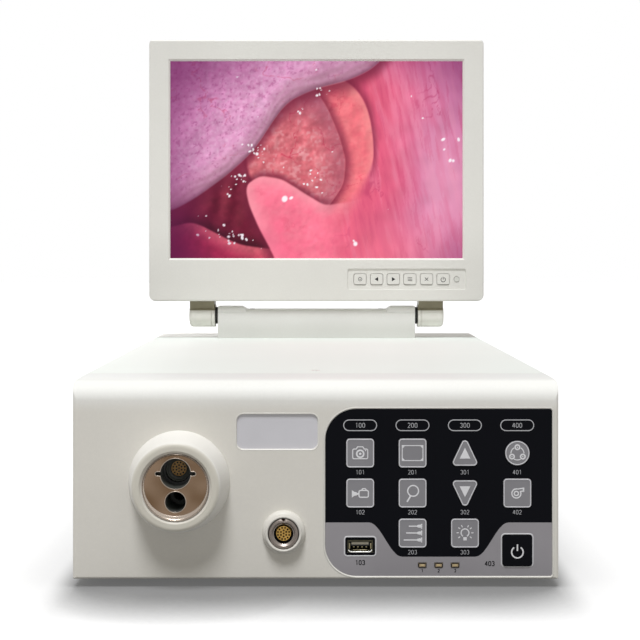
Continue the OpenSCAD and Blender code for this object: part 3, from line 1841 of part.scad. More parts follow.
module hinge_neck() {
  low_z = neck_top_z - neck_step;
  shoulder = neck_x - neck_end;
  color([0.90, 0.90, 0.88])
  difference() {
    union() {
      from_side(-neck_x, neck_w)
        neck_side_view(low_z);
      intersection() {
        from_side(-neck_x, neck_w)
          neck_side_view(neck_top_z);
        from_front(neck_y0 - overrun, neck_d + 2 * overrun)
          for (side = [-1, 1])
            polygon([
              [side * (shoulder - neck_ramp), low_z - neck_step],
              [side * neck_x, low_z - neck_step], [side * neck_x, neck_top_z],
              [side * shoulder, neck_top_z], [side * (shoulder - neck_ramp), low_z]
            ]);
      }
    }
    block(
      neck_solid - neck_x, neck_x - neck_solid, neck_y0 + neck_wall, neck_y0 + neck_d - neck_wall,
      top_z - overrun, low_z - neck_wall
    );
    for (side = [-1, 1])
      rod_x(
        side > 0 ? neck_x - pin_seat : -neck_x - overrun, hinge_y, hinge_z,
        pin_seat + overrun, pin_r + fit_gap
      );
    at_neck_screws()
      countersunk_body(screw_l + screw_gap, fit_gap);
  }
}

// Profile (radius, distance from the inner end) of a knuckle, with its rounded outer end
module knuckle_profile() {
  inner = knuckle_r - knuckle_round;
  difference() {
    union() {
      polygon([
        [0, 0], [knuckle_r, 0], [knuckle_r, knuckle_l - knuckle_round],
        [inner, knuckle_l - knuckle_round], [inner, knuckle_l], [0, knuckle_l]
      ]);
      translate([inner, knuckle_l - knuckle_round])
        circle(knuckle_round);
    }
    translate([knuckle_r - knuckle_ring_w, knuckle_ring])
      square([knuckle_ring_w + overrun, knuckle_ring_w]);
  }
}

module at_hinge_sides() {
  for (side = [-1, 1])
    translate([0, hinge_y, hinge_z])
      rotate([0, side * 90, 0])
        children();
}

module hinge_knuckles() {
  inner = knuckle_x + stem_inset;
  outer = knuckle_x + knuckle_l - stem_inset;
  color([0.90, 0.90, 0.88]) {
    difference() {
      union() {
        at_hinge_sides()
          translate([0, 0, knuckle_x])
            rotate_extrude()
              knuckle_profile();
        for (side = [-1, 1])
          block(
            side * inner, side * outer, hinge_y - stem_d / 2, hinge_y + stem_d / 2,
            hinge_z, mon_z
          );
      }
      at_hinge_sides()
        translate([0, 0, knuckle_x - overrun])
          cylinder(h = knuckle_l - knuckle_cap + overrun, r = pin_r + fit_gap);
    }
    difference() {
      tongue_views(0);
      block(-mon_x, mon_x, mon_y, mon_back_y, mon_z - overrun, mon_z - slip_gap);
    }
  }
}

module hinge_pins() {
  pin_l = pin_seat + knuckle_gap + knuckle_l - knuckle_cap - slip_gap - move_gap;
  color([0.66, 0.66, 0.67])
  at_hinge_sides()
    translate([0, 0, neck_x - pin_seat + slip_gap])
      cylinder(h = pin_l, r = pin_r);
}

module hinge_washers() {
  color([0.07, 0.07, 0.07])
  at_hinge_sides()
    translate([0, 0, neck_x])
      difference() {
        cylinder(h = knuckle_gap - move_gap, r = washer_r);
        translate([0, 0, -overrun])
          cylinder(h = knuckle_gap + 2 * overrun, r = pin_r + fit_gap);
      }
}

button_names = [for (i = [1:button_count]) str("monitor_button_", i)];

base_tray();
top_cover();
front_bezel();
rear_frame();
rear_panel();
feet();
case_screws();
scope_collar();
scope_socket_block();
scope_plug_sleeve();
scope_pin_insert();
light_guide_tube();
camera_collar();
camera_socket_shell();
camera_socket_insert();
name_plate();
keypad_film();
keypad_band();
keypad_board();
usb_shell();
usb_tongue();
status_leds();
key_power();
main_board();
power_supply();
lamp_module();
air_pump();
air_hose();
fan_frame();
fan_rotor();
fan_guard();
mains_inlet();
mains_switch();
fuse_drawer();
rear_jacks();
monitor_front();
monitor_back();
lcd_panel();
monitor_board();
monitor_led();
hinge_neck();
hinge_knuckles();
hinge_pins();
hinge_washers();
for (k = keys)
  color([0.52, 0.52, 0.54])
      front_key(k[3], column_x(k[1]), row_z(k[2]));
for (i = [0:button_count - 1])
  monitor_button(i);
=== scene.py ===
import bpy
import json
import math
import numpy as np
import bmesh
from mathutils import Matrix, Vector


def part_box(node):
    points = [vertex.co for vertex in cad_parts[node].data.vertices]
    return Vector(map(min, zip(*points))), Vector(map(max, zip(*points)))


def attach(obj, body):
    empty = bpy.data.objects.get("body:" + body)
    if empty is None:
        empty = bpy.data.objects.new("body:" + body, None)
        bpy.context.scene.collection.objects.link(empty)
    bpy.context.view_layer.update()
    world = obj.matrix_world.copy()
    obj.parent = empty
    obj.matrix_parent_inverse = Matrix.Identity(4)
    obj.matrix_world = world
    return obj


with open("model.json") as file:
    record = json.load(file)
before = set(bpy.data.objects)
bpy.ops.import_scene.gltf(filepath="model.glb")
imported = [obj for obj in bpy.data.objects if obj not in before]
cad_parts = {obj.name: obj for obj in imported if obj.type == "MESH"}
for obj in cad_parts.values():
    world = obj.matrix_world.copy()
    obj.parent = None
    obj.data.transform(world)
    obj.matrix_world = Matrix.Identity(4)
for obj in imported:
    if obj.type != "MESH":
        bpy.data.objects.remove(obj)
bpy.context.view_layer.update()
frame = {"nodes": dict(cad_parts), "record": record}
mm = 0.001
nodes = frame["nodes"]
print("stage: frame loaded,", len(nodes), "nodes")


def toLinear(seen):
    # Linear light from a colour as the eye sees it, both 0 to 1
    return np.where(seen <= 0.04045, seen / 12.92, ((seen + 0.055) / 1.055) ** 2.4)


def tint(r, g, b):
    # A shader's colour from one that is written as the eye sees it, 0 to 255
    return (*[float(v) for v in toLinear(np.array([r, g, b]) / 255)], 1.0)


def scaled(colour, factor, lift=0.0):
    return tuple(min(1.0, c * factor + lift) for c in colour[:3]) + (1,)


def addObject(name, data):
    thing = bpy.data.objects.new(name, data)
    bpy.context.scene.collection.objects.link(thing)
    return thing


# Camera at the photograph's place: level, with the picture shifted down for the framing
camera = {"place": (1.4 * mm, -780.5 * mm, 192.7 * mm), "lens": 59.7, "sensor": 36,
          "shift": (0.003, -0.105), "clip": (0.02, 20)}


def makeCamera():
    data = bpy.data.cameras.new("view")
    data.sensor_width, data.lens = camera["sensor"], camera["lens"]
    data.shift_x, data.shift_y = camera["shift"]
    data.clip_start, data.clip_end = camera["clip"]
    eye = addObject("view", data)
    eye.location = camera["place"]
    eye.rotation_euler = (math.radians(90), 0, 0)
    bpy.context.scene.camera = eye


makeCamera()


class Wire:
    # One socket of a node tree: arithmetic on it adds Math nodes, and add() makes any other node
    def __init__(self, tree, socket=None):
        self.tree = tree
        self.socket = socket

    def add(self, kind, settings=None, inputs=None, output=0):
        made = self.tree.nodes.new(kind)
        for name, value in (settings or {}).items():
            setattr(made, name, value)
        for name, value in (inputs or {}).items():
            if isinstance(value, Wire):
                self.tree.links.new(value.socket, made.inputs[name])
            else:
                made.inputs[name].default_value = value
        return Wire(self.tree, made.outputs[output])

    def maths(self, operation, a, b=0.0):
        return self.add("ShaderNodeMath", {"operation": operation}, {0: a, 1: b})

    def vectorMaths(self, operation, a, b, output="Vector"):
        return self.add("ShaderNodeVectorMath", {"operation": operation}, {0: a, 1: b}, output)

    def __add__(self, other):
        return self.maths("ADD", self, other)

    def __sub__(self, other):
        return self.maths("SUBTRACT", self, other)

    def __rsub__(self, other):
        return self.maths("SUBTRACT", other, self)

    def __mul__(self, other):
        return self.maths("MULTIPLY", self, other)

    def __pow__(self, other):
        return self.maths("POWER", self, other)

    __radd__ = __add__
    __rmul__ = __mul__

    def above(self, low, high):
        # 0 below low, 1 above high, smooth between
        return self.add("ShaderNodeMapRange", {"interpolation_type": "SMOOTHSTEP"},
                        {"Value": self, "From Min": low, "From Max": high})

    def mix(self, first, second):
        # First colour where this is 0, second where it is 1
        return self.add("ShaderNodeMix", {"data_type": "RGBA"},
                        {"Factor": self, 6: first, 7: second}, 2)


def makeMaterial(name, fixed, varying):
    # Constant sockets are set, and what varies with the place is linked
    material = bpy.data.materials.new(name)
    material.use_nodes = True
    tree = material.node_tree
    shader = tree.nodes["Principled BSDF"]
    for socket, value in fixed.items():
        shader.inputs[socket].default_value = value
    place = Wire(tree).add("ShaderNodeTexCoord", output="Object")
    for socket, wire in varying(place).items():
        tree.links.new(wire.socket, shader.inputs[socket])
    return material


def noise(place, size, detail):
    # Noise whose lumps are about the given size in metres
    return place.add("ShaderNodeTexNoise", None, {
        "Vector": place, "Scale": 1 / size, "Detail": detail, "Roughness": 0.55})


def softEdge(place, radius):
    return place.add("ShaderNodeBevel", {"samples": 6}, {"Radius": radius}, "Normal")


def edgeMask(rounded):
    # 1 along edges, where the softened normal leaves the true one
    true = rounded.add("ShaderNodeNewGeometry", output="Normal")
    return (1 - rounded.vectorMaths("DOT_PRODUCT", rounded, true, "Value")).above(0.004, 0.10)


def along(place, axis):
    return place.add("ShaderNodeSeparateXYZ", None, {"Vector": place}, axis)


def fromAxis(place, x, z):
    # Distance in metres from the line along Y through x and z, given in millimetres
    centred = place.vectorMaths("SUBTRACT", place, (x * mm, 0, z * mm))
    flat = place.vectorMaths("MULTIPLY", centred, (1, 0, 1))
    return place.vectorMaths("LENGTH", flat, (0, 0, 0), "Value")


def turnedLines(place, x, z, size):
    spread = place.add("ShaderNodeCombineXYZ", None, {"X": fromAxis(place, x, z)})
    return noise(spread, size, 2)


def bump(height, depth, strength, normal):
    return height.add("ShaderNodeBump", None, {
        "Height": height, "Distance": depth, "Strength": strength, "Normal": normal})


def coated(name, colour, **look):
    # Moulded plastic or powder coat: grain, faint clouds and rubbed edges. Past a rise, which is
    # given in millimetres, it can have a second tone, and on the brow's level top a third; these
    # two tones are painted light, a painted highlight or shade for how light falls there
    shade = {"cloud": 0.06, "grain": 0.0008, "grainStrength": 0.35, "rough": 0.42, "edge": 0.0006,
             "rub": 0.5, "gloss": 0.4, "high": None, "rise": None, "roughHigh": 0.0, "flat": None}
    shade.update(look)

    def varying(place):
        rounded = softEdge(place, shade["edge"])
        edge = edgeMask(rounded)
        cloud = noise(place, 0.09, 4).above(0.30, 0.72)
        speck = noise(place, 0.0016, 2).above(0.35, 0.75)
        blotch = cloud * 0.7 + speck * 0.3

        def mottled(tone):
            return blotch.mix(scaled(tint(*tone), 1 - shade["cloud"]), tint(*tone))

        def over(low, high):
            return along(place, "Z").above(low * mm, high * mm)

        plain = mottled(colour)
        rough = shade["rough"] + (cloud * 0.5 + speck * 0.5 - 0.5) * 0.10 - edge * 0.06
        # The second and third tones are painted light
        if shade["high"]:
            up = over(*shade["rise"])
            plain = up.mix(plain, mottled(shade["high"]))
            rough = rough + up * shade["roughHigh"]
        if shade["flat"]:
            plain = over(browTop - 2.2, browTop - 0.3).mix(plain, mottled(shade["flat"]))
        grain = noise(place, shade["grain"], 2)
        return {
            "Base Color": (edge * shade["rub"]).mix(plain, scaled(tint(*colour), 1.06, 0.01)),
            "Roughness": rough,
            "Normal": bump(grain, 0.00004, shade["grainStrength"], rounded),
        }

    return makeMaterial(name, {"Specular IOR Level": shade["gloss"]}, varying)


def metal(name, colour, **look):
    # Drawn metal with fine lines, or turned metal with lines round an axis
    shade = {"rough": 0.28, "axis": None, "tarnish": 0.12}
    shade.update(look)
    colour = tint(*colour)

    def varying(place):
        rounded = softEdge(place, 0.0003)
        axis = shade["axis"]
        lines = turnedLines(place, *axis, 0.0004) if axis else noise(place, 0.0004, 2)
        stain = noise(place, 0.012, 4).above(0.35, 0.75)
        dull = scaled(colour, 1 - shade["tarnish"])
        return {
            "Base Color": (stain * (1 - edgeMask(rounded))).mix(colour, dull),
            "Roughness": shade["rough"] + (lines - 0.5) * 0.16 + stain * 0.06,
            "Normal": bump(lines, 0.00001, 0.5, rounded),
        }

    return makeMaterial(name, {"Metallic": 1.0}, varying)


def film(name, colour, **look):
    # Printed polyester sheet: faint dust, a pebbled surface and slight waviness
    shade = {"rough": 0.34, "dust": 0.35, "gloss": 0.2}
    shade.update(look)
    colour = tint(*colour)

    def varying(place):
        cloud = noise(place, 0.05, 3).above(0.3, 0.75)
        dust = noise(place, 0.0009, 2).above(0.66, 0.80)
        waved = bump(noise(place, 0.03, 2), 0.0006, 0.12, softEdge(place, 0.0002))
        clean = cloud.mix(scaled(colour, 0.90), colour)
        return {
            "Base Color": (dust * shade["dust"]).mix(clean, scaled(colour, 1.25, 0.02)),
            "Roughness": shade["rough"] + cloud * 0.05 + dust * 0.2,
            "Normal": bump(noise(place, 0.00035, 2), 0.00002, 0.25, waved),
        }

    return makeMaterial(name, {"Specular IOR Level": shade["gloss"]}, varying)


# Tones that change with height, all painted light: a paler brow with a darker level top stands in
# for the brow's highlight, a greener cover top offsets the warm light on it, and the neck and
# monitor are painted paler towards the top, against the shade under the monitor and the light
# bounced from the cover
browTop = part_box("front_bezel")[1].z / mm
neckLow, neckHigh = (corner.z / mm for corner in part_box("hinge_neck"))
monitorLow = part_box("monitor_front")[0].z / mm
materials = {
    # Painted light: the cover's top is painted a little greener to offset the warm light falling on
    # it
    "case_paint": coated(
        "coverPowderCoat", (229, 231, 226), grain=0.0006, rough=0.6, grainStrength=0.45,
        cloud=0.03, gloss=0.12, high=(228, 233, 228), rise=(browTop - 1.5, browTop - 0.8)),
    # Painted light: the paler brow is a painted highlight, and the darker level top above it a
    # painted shade
    "bezel_plastic": coated(
        "bezelPlastic", (227, 224, 216), rough=0.40, gloss=0.25, high=(243, 243, 239),
        rise=(browTop - 20, browTop - 8), roughHigh=0.15, flat=(224, 226, 223)),
    # Painted light: paler towards the top, against the monitor's shade on the neck's upper part
    "neck_plastic": coated("neckPlastic", (217, 217, 212), high=(253, 253, 250),
                           rise=(neckLow + 6, neckHigh - 2)),
    "frame_plastic": coated("framePlastic", (232, 230, 224), rough=0.45),
    # Painted light: paler towards the top, against the light bounced from the cover onto the
    # monitor's lower part
    "monitor_plastic": coated("monitorPlastic", (233, 232, 226), rough=0.44, high=(247, 246, 240),
                              rise=(monitorLow + 15, monitorLow + 70)),
    "sheet_metal": coated("sheetMetalPaint", (200, 201, 200), grain=0.0005, rough=0.5, cloud=0.08),
    "rubber": coated("footRubber", (38, 38, 38), rough=0.78, cloud=0.25, rub=0.3, grain=0.0012),
    "screw_steel": metal("platedSteel", (205, 204, 202), rough=0.30),
    "socket_steel": metal("turnedSteel", (168, 156, 146), rough=0.20, axis=(-78.5, 61.3)),
    "connector_nickel": metal("nickelPlate", (200, 196, 188), rough=0.22),
    "contact_gold": metal("goldContacts", (212, 172, 92), rough=0.26),
    "black_plastic": coated("blackPlastic", (34, 35, 34), rough=0.48, cloud=0.2, rub=0.25,
                            edge=0.0003),
    "plate_film": film("barePlate", (216, 215, 220), rough=0.38, dust=0.15),
    "keypad_black": film("blackSheet", (12, 13, 18), dust=0.08, gloss=0.04),
    "keypad_grey": film("greySheet", (155, 152, 156), dust=0.2),
    "key_grey": film("greyKey", (141, 140, 144), dust=0.2, rough=0.40),
    "board_green": coated("circuitBoard", (24, 92, 56), rough=0.3, edge=0.0002),
    "led_amber": film("amberLens", (178, 158, 126), rough=0.22),
    "led_clear": film("clearLens", (222, 223, 216), rough=0.25),
    "supply_metal": metal("supplySheet", (198, 199, 200), rough=0.4),
    "dark_metal": coated("darkHousing", (66, 68, 72)),
    "hose": coated("siliconeHose", (214, 218, 220), rough=0.3, cloud=0.1),
    "screen": film("panelEdge", (24, 22, 26), rough=0.2),
}

# The steel face of the scope socket: turned lines, a painted reflection of the room as soft
# brownish patches, and painted shade in the bores behind it
scopeFace = {"front": -186.0, "centre": (-78.5, 61.3), "radius": 18.7, "plug": (-78.5, 68.884, 8.5),
             "guide": (-78.5, 53.084, 5.75), "slotReach": 11.45, "slotHigh": 1.12,
             "steel": (126, 106, 88), "shade": (94, 73, 53), "inside": (60, 62, 58)}


def scopeSteel(place):
    def within(distance, reach, soft):
        return 1 - distance.above((reach - soft) * mm, reach * mm)

    front, (x, z, _) = scopeFace["front"], scopeFace["plug"]
    # Painted shade: inside the bores and the key slot the face turns dark and loses its metal
    deep = along(place, "Y").above((front + 0.03) * mm, (front + 0.10) * mm)
    bores = [within(fromAxis(place, *scopeFace[bore][:2]), scopeFace[bore][2] + 0.12, 0.09)
             for bore in ("plug", "guide")]
    across, up = [place.maths("ABSOLUTE", along(place, axis) - centre * mm)
                  for axis, centre in (("X", x), ("Z", z))]
    slot = within(across, scopeFace["slotReach"], 0.05) * within(up, scopeFace["slotHigh"], 0.05)
    hollow = deep * place.maths("MAXIMUM", place.maths("MAXIMUM", *bores), slot)
    lines = turnedLines(place, *scopeFace["centre"], 0.0004)
    # Painted reflection: the face is mixed in soft patches between a darker and a lighter steel
    wide = place.vectorMaths("MULTIPLY", place, (1, 0, 1.3))
    paintedReflection = noise(wide, 0.022, 1).above(0.32, 0.68)
    shade, steel, inside = (tint(*scopeFace[part]) for part in ("shade", "steel", "inside"))
    return {
        "Base Color": hollow.mix((paintedReflection * 0.8 + lines * 0.2).mix(shade, steel), inside),
        "Metallic": 1 - hollow,
        "Roughness": 0.16 + lines * 0.10 + hollow * 0.4,
        "Normal": bump(lines, 0.00001, 0.4, softEdge(place, 0.0002)),
    }


def depthPaintedShade(name, front, behind, start, end, **look):
    # Metal with one colour in front of a depth and another behind it, for holes, pins and bores
    # seen from the front; the darker of the two is painted shade
    shade = {"rough": 0.3, "metal": 1.0, "metalBehind": 0.0, "bore": None}
    shade.update(look)

    def varying(place):
        deep = along(place, "Y").above(start * mm, end * mm)
        if shade["bore"]:
            x, z, r = shade["bore"]
            deep = deep * (1 - fromAxis(place, x, z).above(r * mm, (r + 0.1) * mm))
        stain = noise(place, 0.0012, 3)
        plain = stain.above(0.35, 0.7).mix(tint(*front), scaled(tint(*front), 0.72))
        return {
            "Base Color": deep.mix(plain, tint(*behind)),
            "Metallic": shade["metal"] + deep * (shade["metalBehind"] - shade["metal"]),
            "Roughness": shade["rough"] + stain * 0.12 + deep * 0.25,
            "Normal": bump(stain, 0.00001, 0.3, softEdge(place, 0.0001)),
        }

    return makeMaterial(name, {}, varying)


def twoToneWithPaintedShade(name, axis, start, end, tones, look):
    # Moulded plastic in two finishes, the second past a place along an axis; each has two tones.
    # Where it is used, the difference in tone is painted light and shade
    def varying(place):
        far = along(place, axis).above(start, end)
        cloud = noise(place, look["cloud"], 4).above(0.3, 0.75)
        near, beyond = [cloud.mix(tint(*pale), tint(*dull)) for pale, dull in tones]
        return {
            "Base Color": far.mix(near, beyond),
            "Roughness": look["rough"] + cloud * 0.08 - far * look["smoother"],
            "Normal": bump(noise(place, look["grain"], 2), 0.00004, 0.3, softEdge(place, 0.0006)),
        }

    return makeMaterial(name, {"Specular IOR Level": look["gloss"]}, varying)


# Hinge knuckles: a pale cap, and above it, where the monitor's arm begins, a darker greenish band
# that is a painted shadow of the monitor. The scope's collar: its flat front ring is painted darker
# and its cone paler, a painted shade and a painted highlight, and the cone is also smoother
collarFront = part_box("scope_collar")[0].y
special = {
    "hinge_knuckles": twoToneWithPaintedShade(
        "hingeKnuckle", "Z", 143.4 * mm, 143.8 * mm,
        [((240, 239, 232), (231, 230, 222)), ((140, 134, 110), (128, 122, 98))],
        {"cloud": 0.02, "grain": 0.0007, "rough": 0.40, "smoother": 0.0, "gloss": 0.5}),
    "scope_socket_block": makeMaterial("scopeSteel", {}, scopeSteel),
    "scope_collar": twoToneWithPaintedShade(
        "collarPlastic", "Y", collarFront + 0.1 * mm, collarFront + 1.6 * mm,
        [((212, 208, 196), (206, 202, 190)), ((238, 236, 231), (232, 230, 224))],
        {"cloud": 0.04, "grain": 0.0008, "rough": 0.42, "smoother": 0.08, "gloss": 0.4}),
    # Painted shade: dark pin tips for the shade of the contact holes, and camera contacts, camera
    # barrel and USB shell that turn dark deeper in
    "scope_pin_insert": depthPaintedShade("pinBlock", (52, 40, 28), (132, 102, 62), -166.75, -166.6,
                                  metal=0.5, metalBehind=0.2, rough=0.35),
    "camera_socket_insert": depthPaintedShade("cameraContacts", (214, 176, 98), (52, 26, 12), -169.76,
                                      -169.5, rough=0.32),
    "camera_socket_shell": depthPaintedShade("cameraBarrel", (176, 168, 160), (10, 9, 9), -175.2, -174.6,
                                     rough=0.18, bore=(-18.3, 32.4, 5.75)),
    "usb_shell": depthPaintedShade("usbShell", (74, 72, 58), (38, 38, 26), -169.9, -168.6, rough=0.34,
                           metalBehind=0.4),
}
slotOf = {row["node"]: row["material_slot"] for row in frame["record"]["subparts"]}
for name, thing in nodes.items():
    thing.data.materials.clear()
    thing.data.materials.append(special.get(name) or materials[slotOf[name]])
print("stage: materials,", len(materials) + len(special))

# Flat prints: a shape drawn in the front view (across, up) in millimetres, as a thin plate
prints = {"thick": 0.05, "sunk": 0.02, "hair": 0.004, "steps": 48}


def mitres(path, closed):
    # The mean of the two neighbouring normals over its own squared length, outwards on a path that
    # runs against the clock
    after = np.roll(path, -1, 0) - path
    before = path - np.roll(path, 1, 0)
    if not closed:
        after[-1] = before[-1]
        before[0] = after[0]
    normals = [np.stack([d[:, 1], -d[:, 0]], 1) / np.linalg.norm(d, axis=1)[:, None]
               for d in (before, after)]
    mean = (normals[0] + normals[1]) / 2
    return mean / np.maximum((mean ** 2).sum(1)[:, None], 0.25)


def tubeFaces(count, around, closed):
    # Quads between each ring of points and the next, with a cap at each end of an open run
    spans = count if closed else count - 1
    a = np.arange(spans)[:, None] * around + np.arange(around)
    b = (np.arange(spans)[:, None] + 1) % count * around + np.arange(around)
    faces = np.stack([a, b, np.roll(b, -1, 1), np.roll(a, -1, 1)], 2).reshape(-1, 4).tolist()
    if not closed:
        faces += [list(range(around)), [count * around - 1 - i for i in range(around)]]
    return faces


def stroke(path, width, closed=False):
    # Band along a path: at each point the corners of a flat box section, half the width out to
    # both sides along the mitre
    path = np.asarray(path, float)
    out = mitres(path, closed) * width / 2
    left, right = path - out, path + out
    flat = np.stack([left, right, right, left], 1).reshape(-1, 2)
    return flat, np.tile([0, 0, 1, 1], len(path)), tubeFaces(len(path), 4, closed)


def filled(outline):
    # Plate inside an outline: the outline in front, the same behind, and walls between
    outline = np.asarray(outline, float)
    count = len(outline)
    around = np.arange(count)
    onward = (around + 1) % count
    walls = np.stack([around, around + count, onward + count, onward], 1)
    faces = [around.tolist(), (around[::-1] + count).tolist()] + walls.tolist()
    return np.concatenate([outline, outline]), np.repeat([0, 1], count), faces


def arc(x, y, r, start=0, end=360, steps=None):
    # Points at radius r from a start angle to an end angle, both in degrees from +X
    steps = steps or max(6, int(abs(end - start) / 360 * prints["steps"]))
    whole = abs(end - start) >= 360
    turn = np.radians(np.linspace(start, end, steps, endpoint=not whole))
    return np.stack([x + r * np.cos(turn), y + r * np.sin(turn)], 1)


def roundBox(x, y, w, h, r):
    # Four quarter arcs round a centre, from the upper right corner against the clock
    corners = [(1, 1, 0), (-1, 1, 90), (-1, -1, 180), (1, -1, 270)]
    return np.concatenate([arc(x + i * (w / 2 - r), y + j * (h / 2 - r), r, a, a + 90, 7)
                           for i, j, a in corners])


def roundTriangle(up, w, h, r):
    # Arcs of 120 degrees or so at three corners, joined by straight sides
    corners = np.array([[-w, -up * h], [w, -up * h], [0, up * h]])
    share = np.linspace(0, 1, 9)[:, None]
    rows = []
    for i in range(3):
        a, b, c = corners[i - 1], corners[i], corners[(i + 1) % 3]
        first, second = [np.array([d[1], -d[0]]) * up / np.linalg.norm(d) for d in (b - a, c - b)]
        out = first * (1 - share) + second * share
        rows.append(b + out / np.linalg.norm(out, axis=1)[:, None] * r)
    return np.concatenate(rows)


def shifted(shapes, x, y):
    return [(flat + [x, y], depth, faces) for flat, depth, faces in shapes]


def finishPiece(name, points, faces, material, body, smooth=None):
    # A mesh from points in metres, its faces turned outwards, with its finish and its body
    mesh = bpy.data.meshes.new(name)
    mesh.from_pydata(points.tolist(), [], faces)
    mesh.validate()
    work = bmesh.new()
    work.from_mesh(mesh)
    bmesh.ops.recalc_face_normals(work, faces=work.faces)
    work.to_mesh(mesh)
    work.free()
    if smooth:
        mesh.shade_smooth()
        mesh.set_sharp_from_angle(angle=math.radians(smooth))
    mesh.materials.append(material)
    thing = addObject(name, mesh)
    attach(thing, body)


def makePrint(name, shapes, level, material, slot, thick=None, out=-1, body="base_unit"):
    # All shapes as one mesh, standing out of the plane at the level towards -Y, or towards +Y for
    # out = 1 with the drawing as seen from behind. Each shape is a hair thicker than the one before
    # it, so that two never share a plane where they cross
    thick = thick or prints["thick"]
    points, faces, base = [], [], 0
    for i, (flat, depth, own) in enumerate(shapes):
        rise = (thick + prints["sunk"] + i % 9 * prints["hair"]) * (1 - depth) - prints["sunk"]
        points.append(np.stack([flat[:, 0] * -out, level + out * rise, flat[:, 1]], 1) * mm)
        faces += [[base + k for k in face] for face in own]
        base += len(flat)
    finishPiece(name, np.concatenate(points), faces, material, body)


def carried(name, path, profile, level, material, side="front", closed=True, wide=None,
            body="base_unit"):
    # A closed profile carried along a path: each of its points lies its first value out along the
    # path's mitre and its second value in front of the level (behind it or above it for the other
    # sides), both times the pair of factors given for that path point
    path, profile = np.asarray(path, float), np.asarray(profile, float)
    factors = np.ones((len(path), 2)) if wide is None else np.stack(wide, 1)
    size = profile[None] * factors[:, None]
    flat = path[:, None] + mitres(path, closed)[:, None] * size[..., :1]
    rise = level + size[..., 1] * (-1 if side == "front" else 1)
    order = (0, 1, 2) if side == "top" else (0, 2, 1)
    points = np.stack([flat[..., 0], flat[..., 1], rise], 2)[..., order]
    faces = tubeFaces(len(path), len(profile), closed)
    finishPiece(name, points.reshape(-1, 3) * mm, faces, material, body, 38)


def frontOf(node):
    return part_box(node)[0].y / mm


def middle(node):
    low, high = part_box(node)
    return ((low.x + high.x) / 2 / mm, (low.z + high.z) / 2 / mm)


# Plain figures as single strokes on a grid one wide and two high; the nought is one closed stroke
figures = {
    "0": np.concatenate([arc(0.5, 1.45, 0.5, 0, 180, 9), arc(0.5, 0.55, 0.5, 180, 360, 9)]),
    "1": [(0.2, 1.6), (0.6, 2), (0.6, 0)],
    "2": np.concatenate([arc(0.5, 1.5, 0.5, 160, -30, 10), [(0, 0), (1, 0)]]),
    "3": np.concatenate([arc(0.45, 1.5, 0.48, 150, -80, 10), arc(0.45, 0.52, 0.52, 80, -150, 12)]),
    "4": [(0.68, 2), (0, 0.6), (1.05, 0.6)],
}
figureStep = 1.55


def figureShapes(text, x, y, height, width):
    # Figures set side by side round a centre; a four has its upright as a stroke of its own
    scale = height / 2
    start = x - (len(text) * figureStep - 0.55) * scale / 2
    shapes = []
    for i, sign in enumerate(text):
        for line in ([[(0.75, 0), (0.75, 2)]] if sign == "4" else []) + [figures[sign]]:
            path = np.asarray(line, float) + [i * figureStep, 0]
            shapes.append(stroke(path * scale + [start, y - height / 2], width, sign == "0"))
    return shapes


# Places and sizes on the keypad, from the keys' own boxes
keypad = {"face": frontOf("keypad_film"), "keyFace": frontOf("key_photo"), "rim": 0.75,
          "corner": 2.0, "square": (16.0, 16.6), "pill": (19.0, 6.15), "pillUp": 15.9,
          "pillLine": 0.5, "figure": 2.35, "labelDown": 11.05}
iconInk = film("keyPrint", (234, 234, 237), rough=0.4, dust=0.1)
rimInk = film("keyRim", (224, 224, 228), dust=0.1)
paleInk = film("palePrint", (196, 197, 201), rough=0.42, dust=0.1)
labelInk = film("labelPrint", (190, 191, 195), rough=0.42, dust=0.1)
darkInk = film("darkPrint", (16, 16, 19), rough=0.45, dust=0.1)


def cameraIcon():
    # One outline with a raised finder, then the lens as a ring round a spot
    corners = [(3.9, -2.7, -90), (3.9, 1.7, 0), (-3.9, 1.7, 90), (-3.9, -2.7, 180)]
    arcs = [arc(x, y, 0.9, a, a + 90, 5) for x, y, a in corners]
    finder = np.array([(2.6, 2.6), (1.7, 4.0), (-1.7, 4.0), (-2.6, 2.6)])
    outline = np.concatenate(arcs[:2] + [finder] + arcs[2:])
    return [stroke(outline * 0.9, 0.6, True), stroke(arc(0, -0.4, 2.0), 0.95, True),
            filled(arc(0, -0.4, 0.75)), filled(arc(3.1, 1.5, 0.4))]


def frameIcon(w, h, reach):
    # Outline with a filled triangle in each of its corners
    corners = [filled([(i * w, j * h), (i * (w - reach), j * h), (i * w, j * (h - reach))])
               for i, j in ((1, 1), (-1, 1), (-1, -1), (1, -1))]
    return [stroke([(-w, -h), (w, -h), (w, h), (-w, h)], 0.55, True)] + corners


def scopesIcon():
    # Three instruments, each a shaft, a grip and three short ends
    rows = []
    for up, left in ((4.0, -2.2), (0.1, -3.7), (-3.9, -5.2)):
        rows += [stroke([(left, up), (3.0, up)], 0.7),
                 filled([(2.6, up - 0.6), (4.2, up - 1.0), (4.2, up + 1.0), (2.6, up + 0.6)])]
        rows += [stroke([(4.2, up), (x, up + rise)], 0.75)
                 for x, rise in ((5.4, 1.3), (5.6, 0), (5.4, -1.3))]
    return rows


def bulbIcon():
    rays = [stroke([(r * math.cos(a), 0.2 + r * math.sin(a)) for r in (3.5, 4.9)], 0.55)
            for a in np.radians([-38, 0, 38, 65, 115, 142, 180, 218])]
    neck = [(-1.0, -2.3), (1.0, -2.3), (1.0, -4.2), (-1.0, -4.2)]
    return rays + [stroke(arc(0, 0.2, 2.25, -60, 240), 0.7), filled(neck)]


def airFlowIcon():
    shapes = []
    for angle in (90, 210, 330):
        a = math.radians(angle)
        x, y = 3.6 * math.cos(a), 3.6 * math.sin(a) - 0.2
        shapes += [stroke(arc(x, y, 1.3), 0.85, True), filled(arc(x, y, 0.4)),
                   stroke(arc(0, -0.2, 3.75, angle + 30, angle + 90), 0.6)]
    return shapes


def solidTriangle(up, rise=0.0):
    outline = [(-3.1, rise - 3.15 * up), (3.1, rise - 3.15 * up), (0, rise + 3.15 * up)]
    return [filled(outline[::up])]


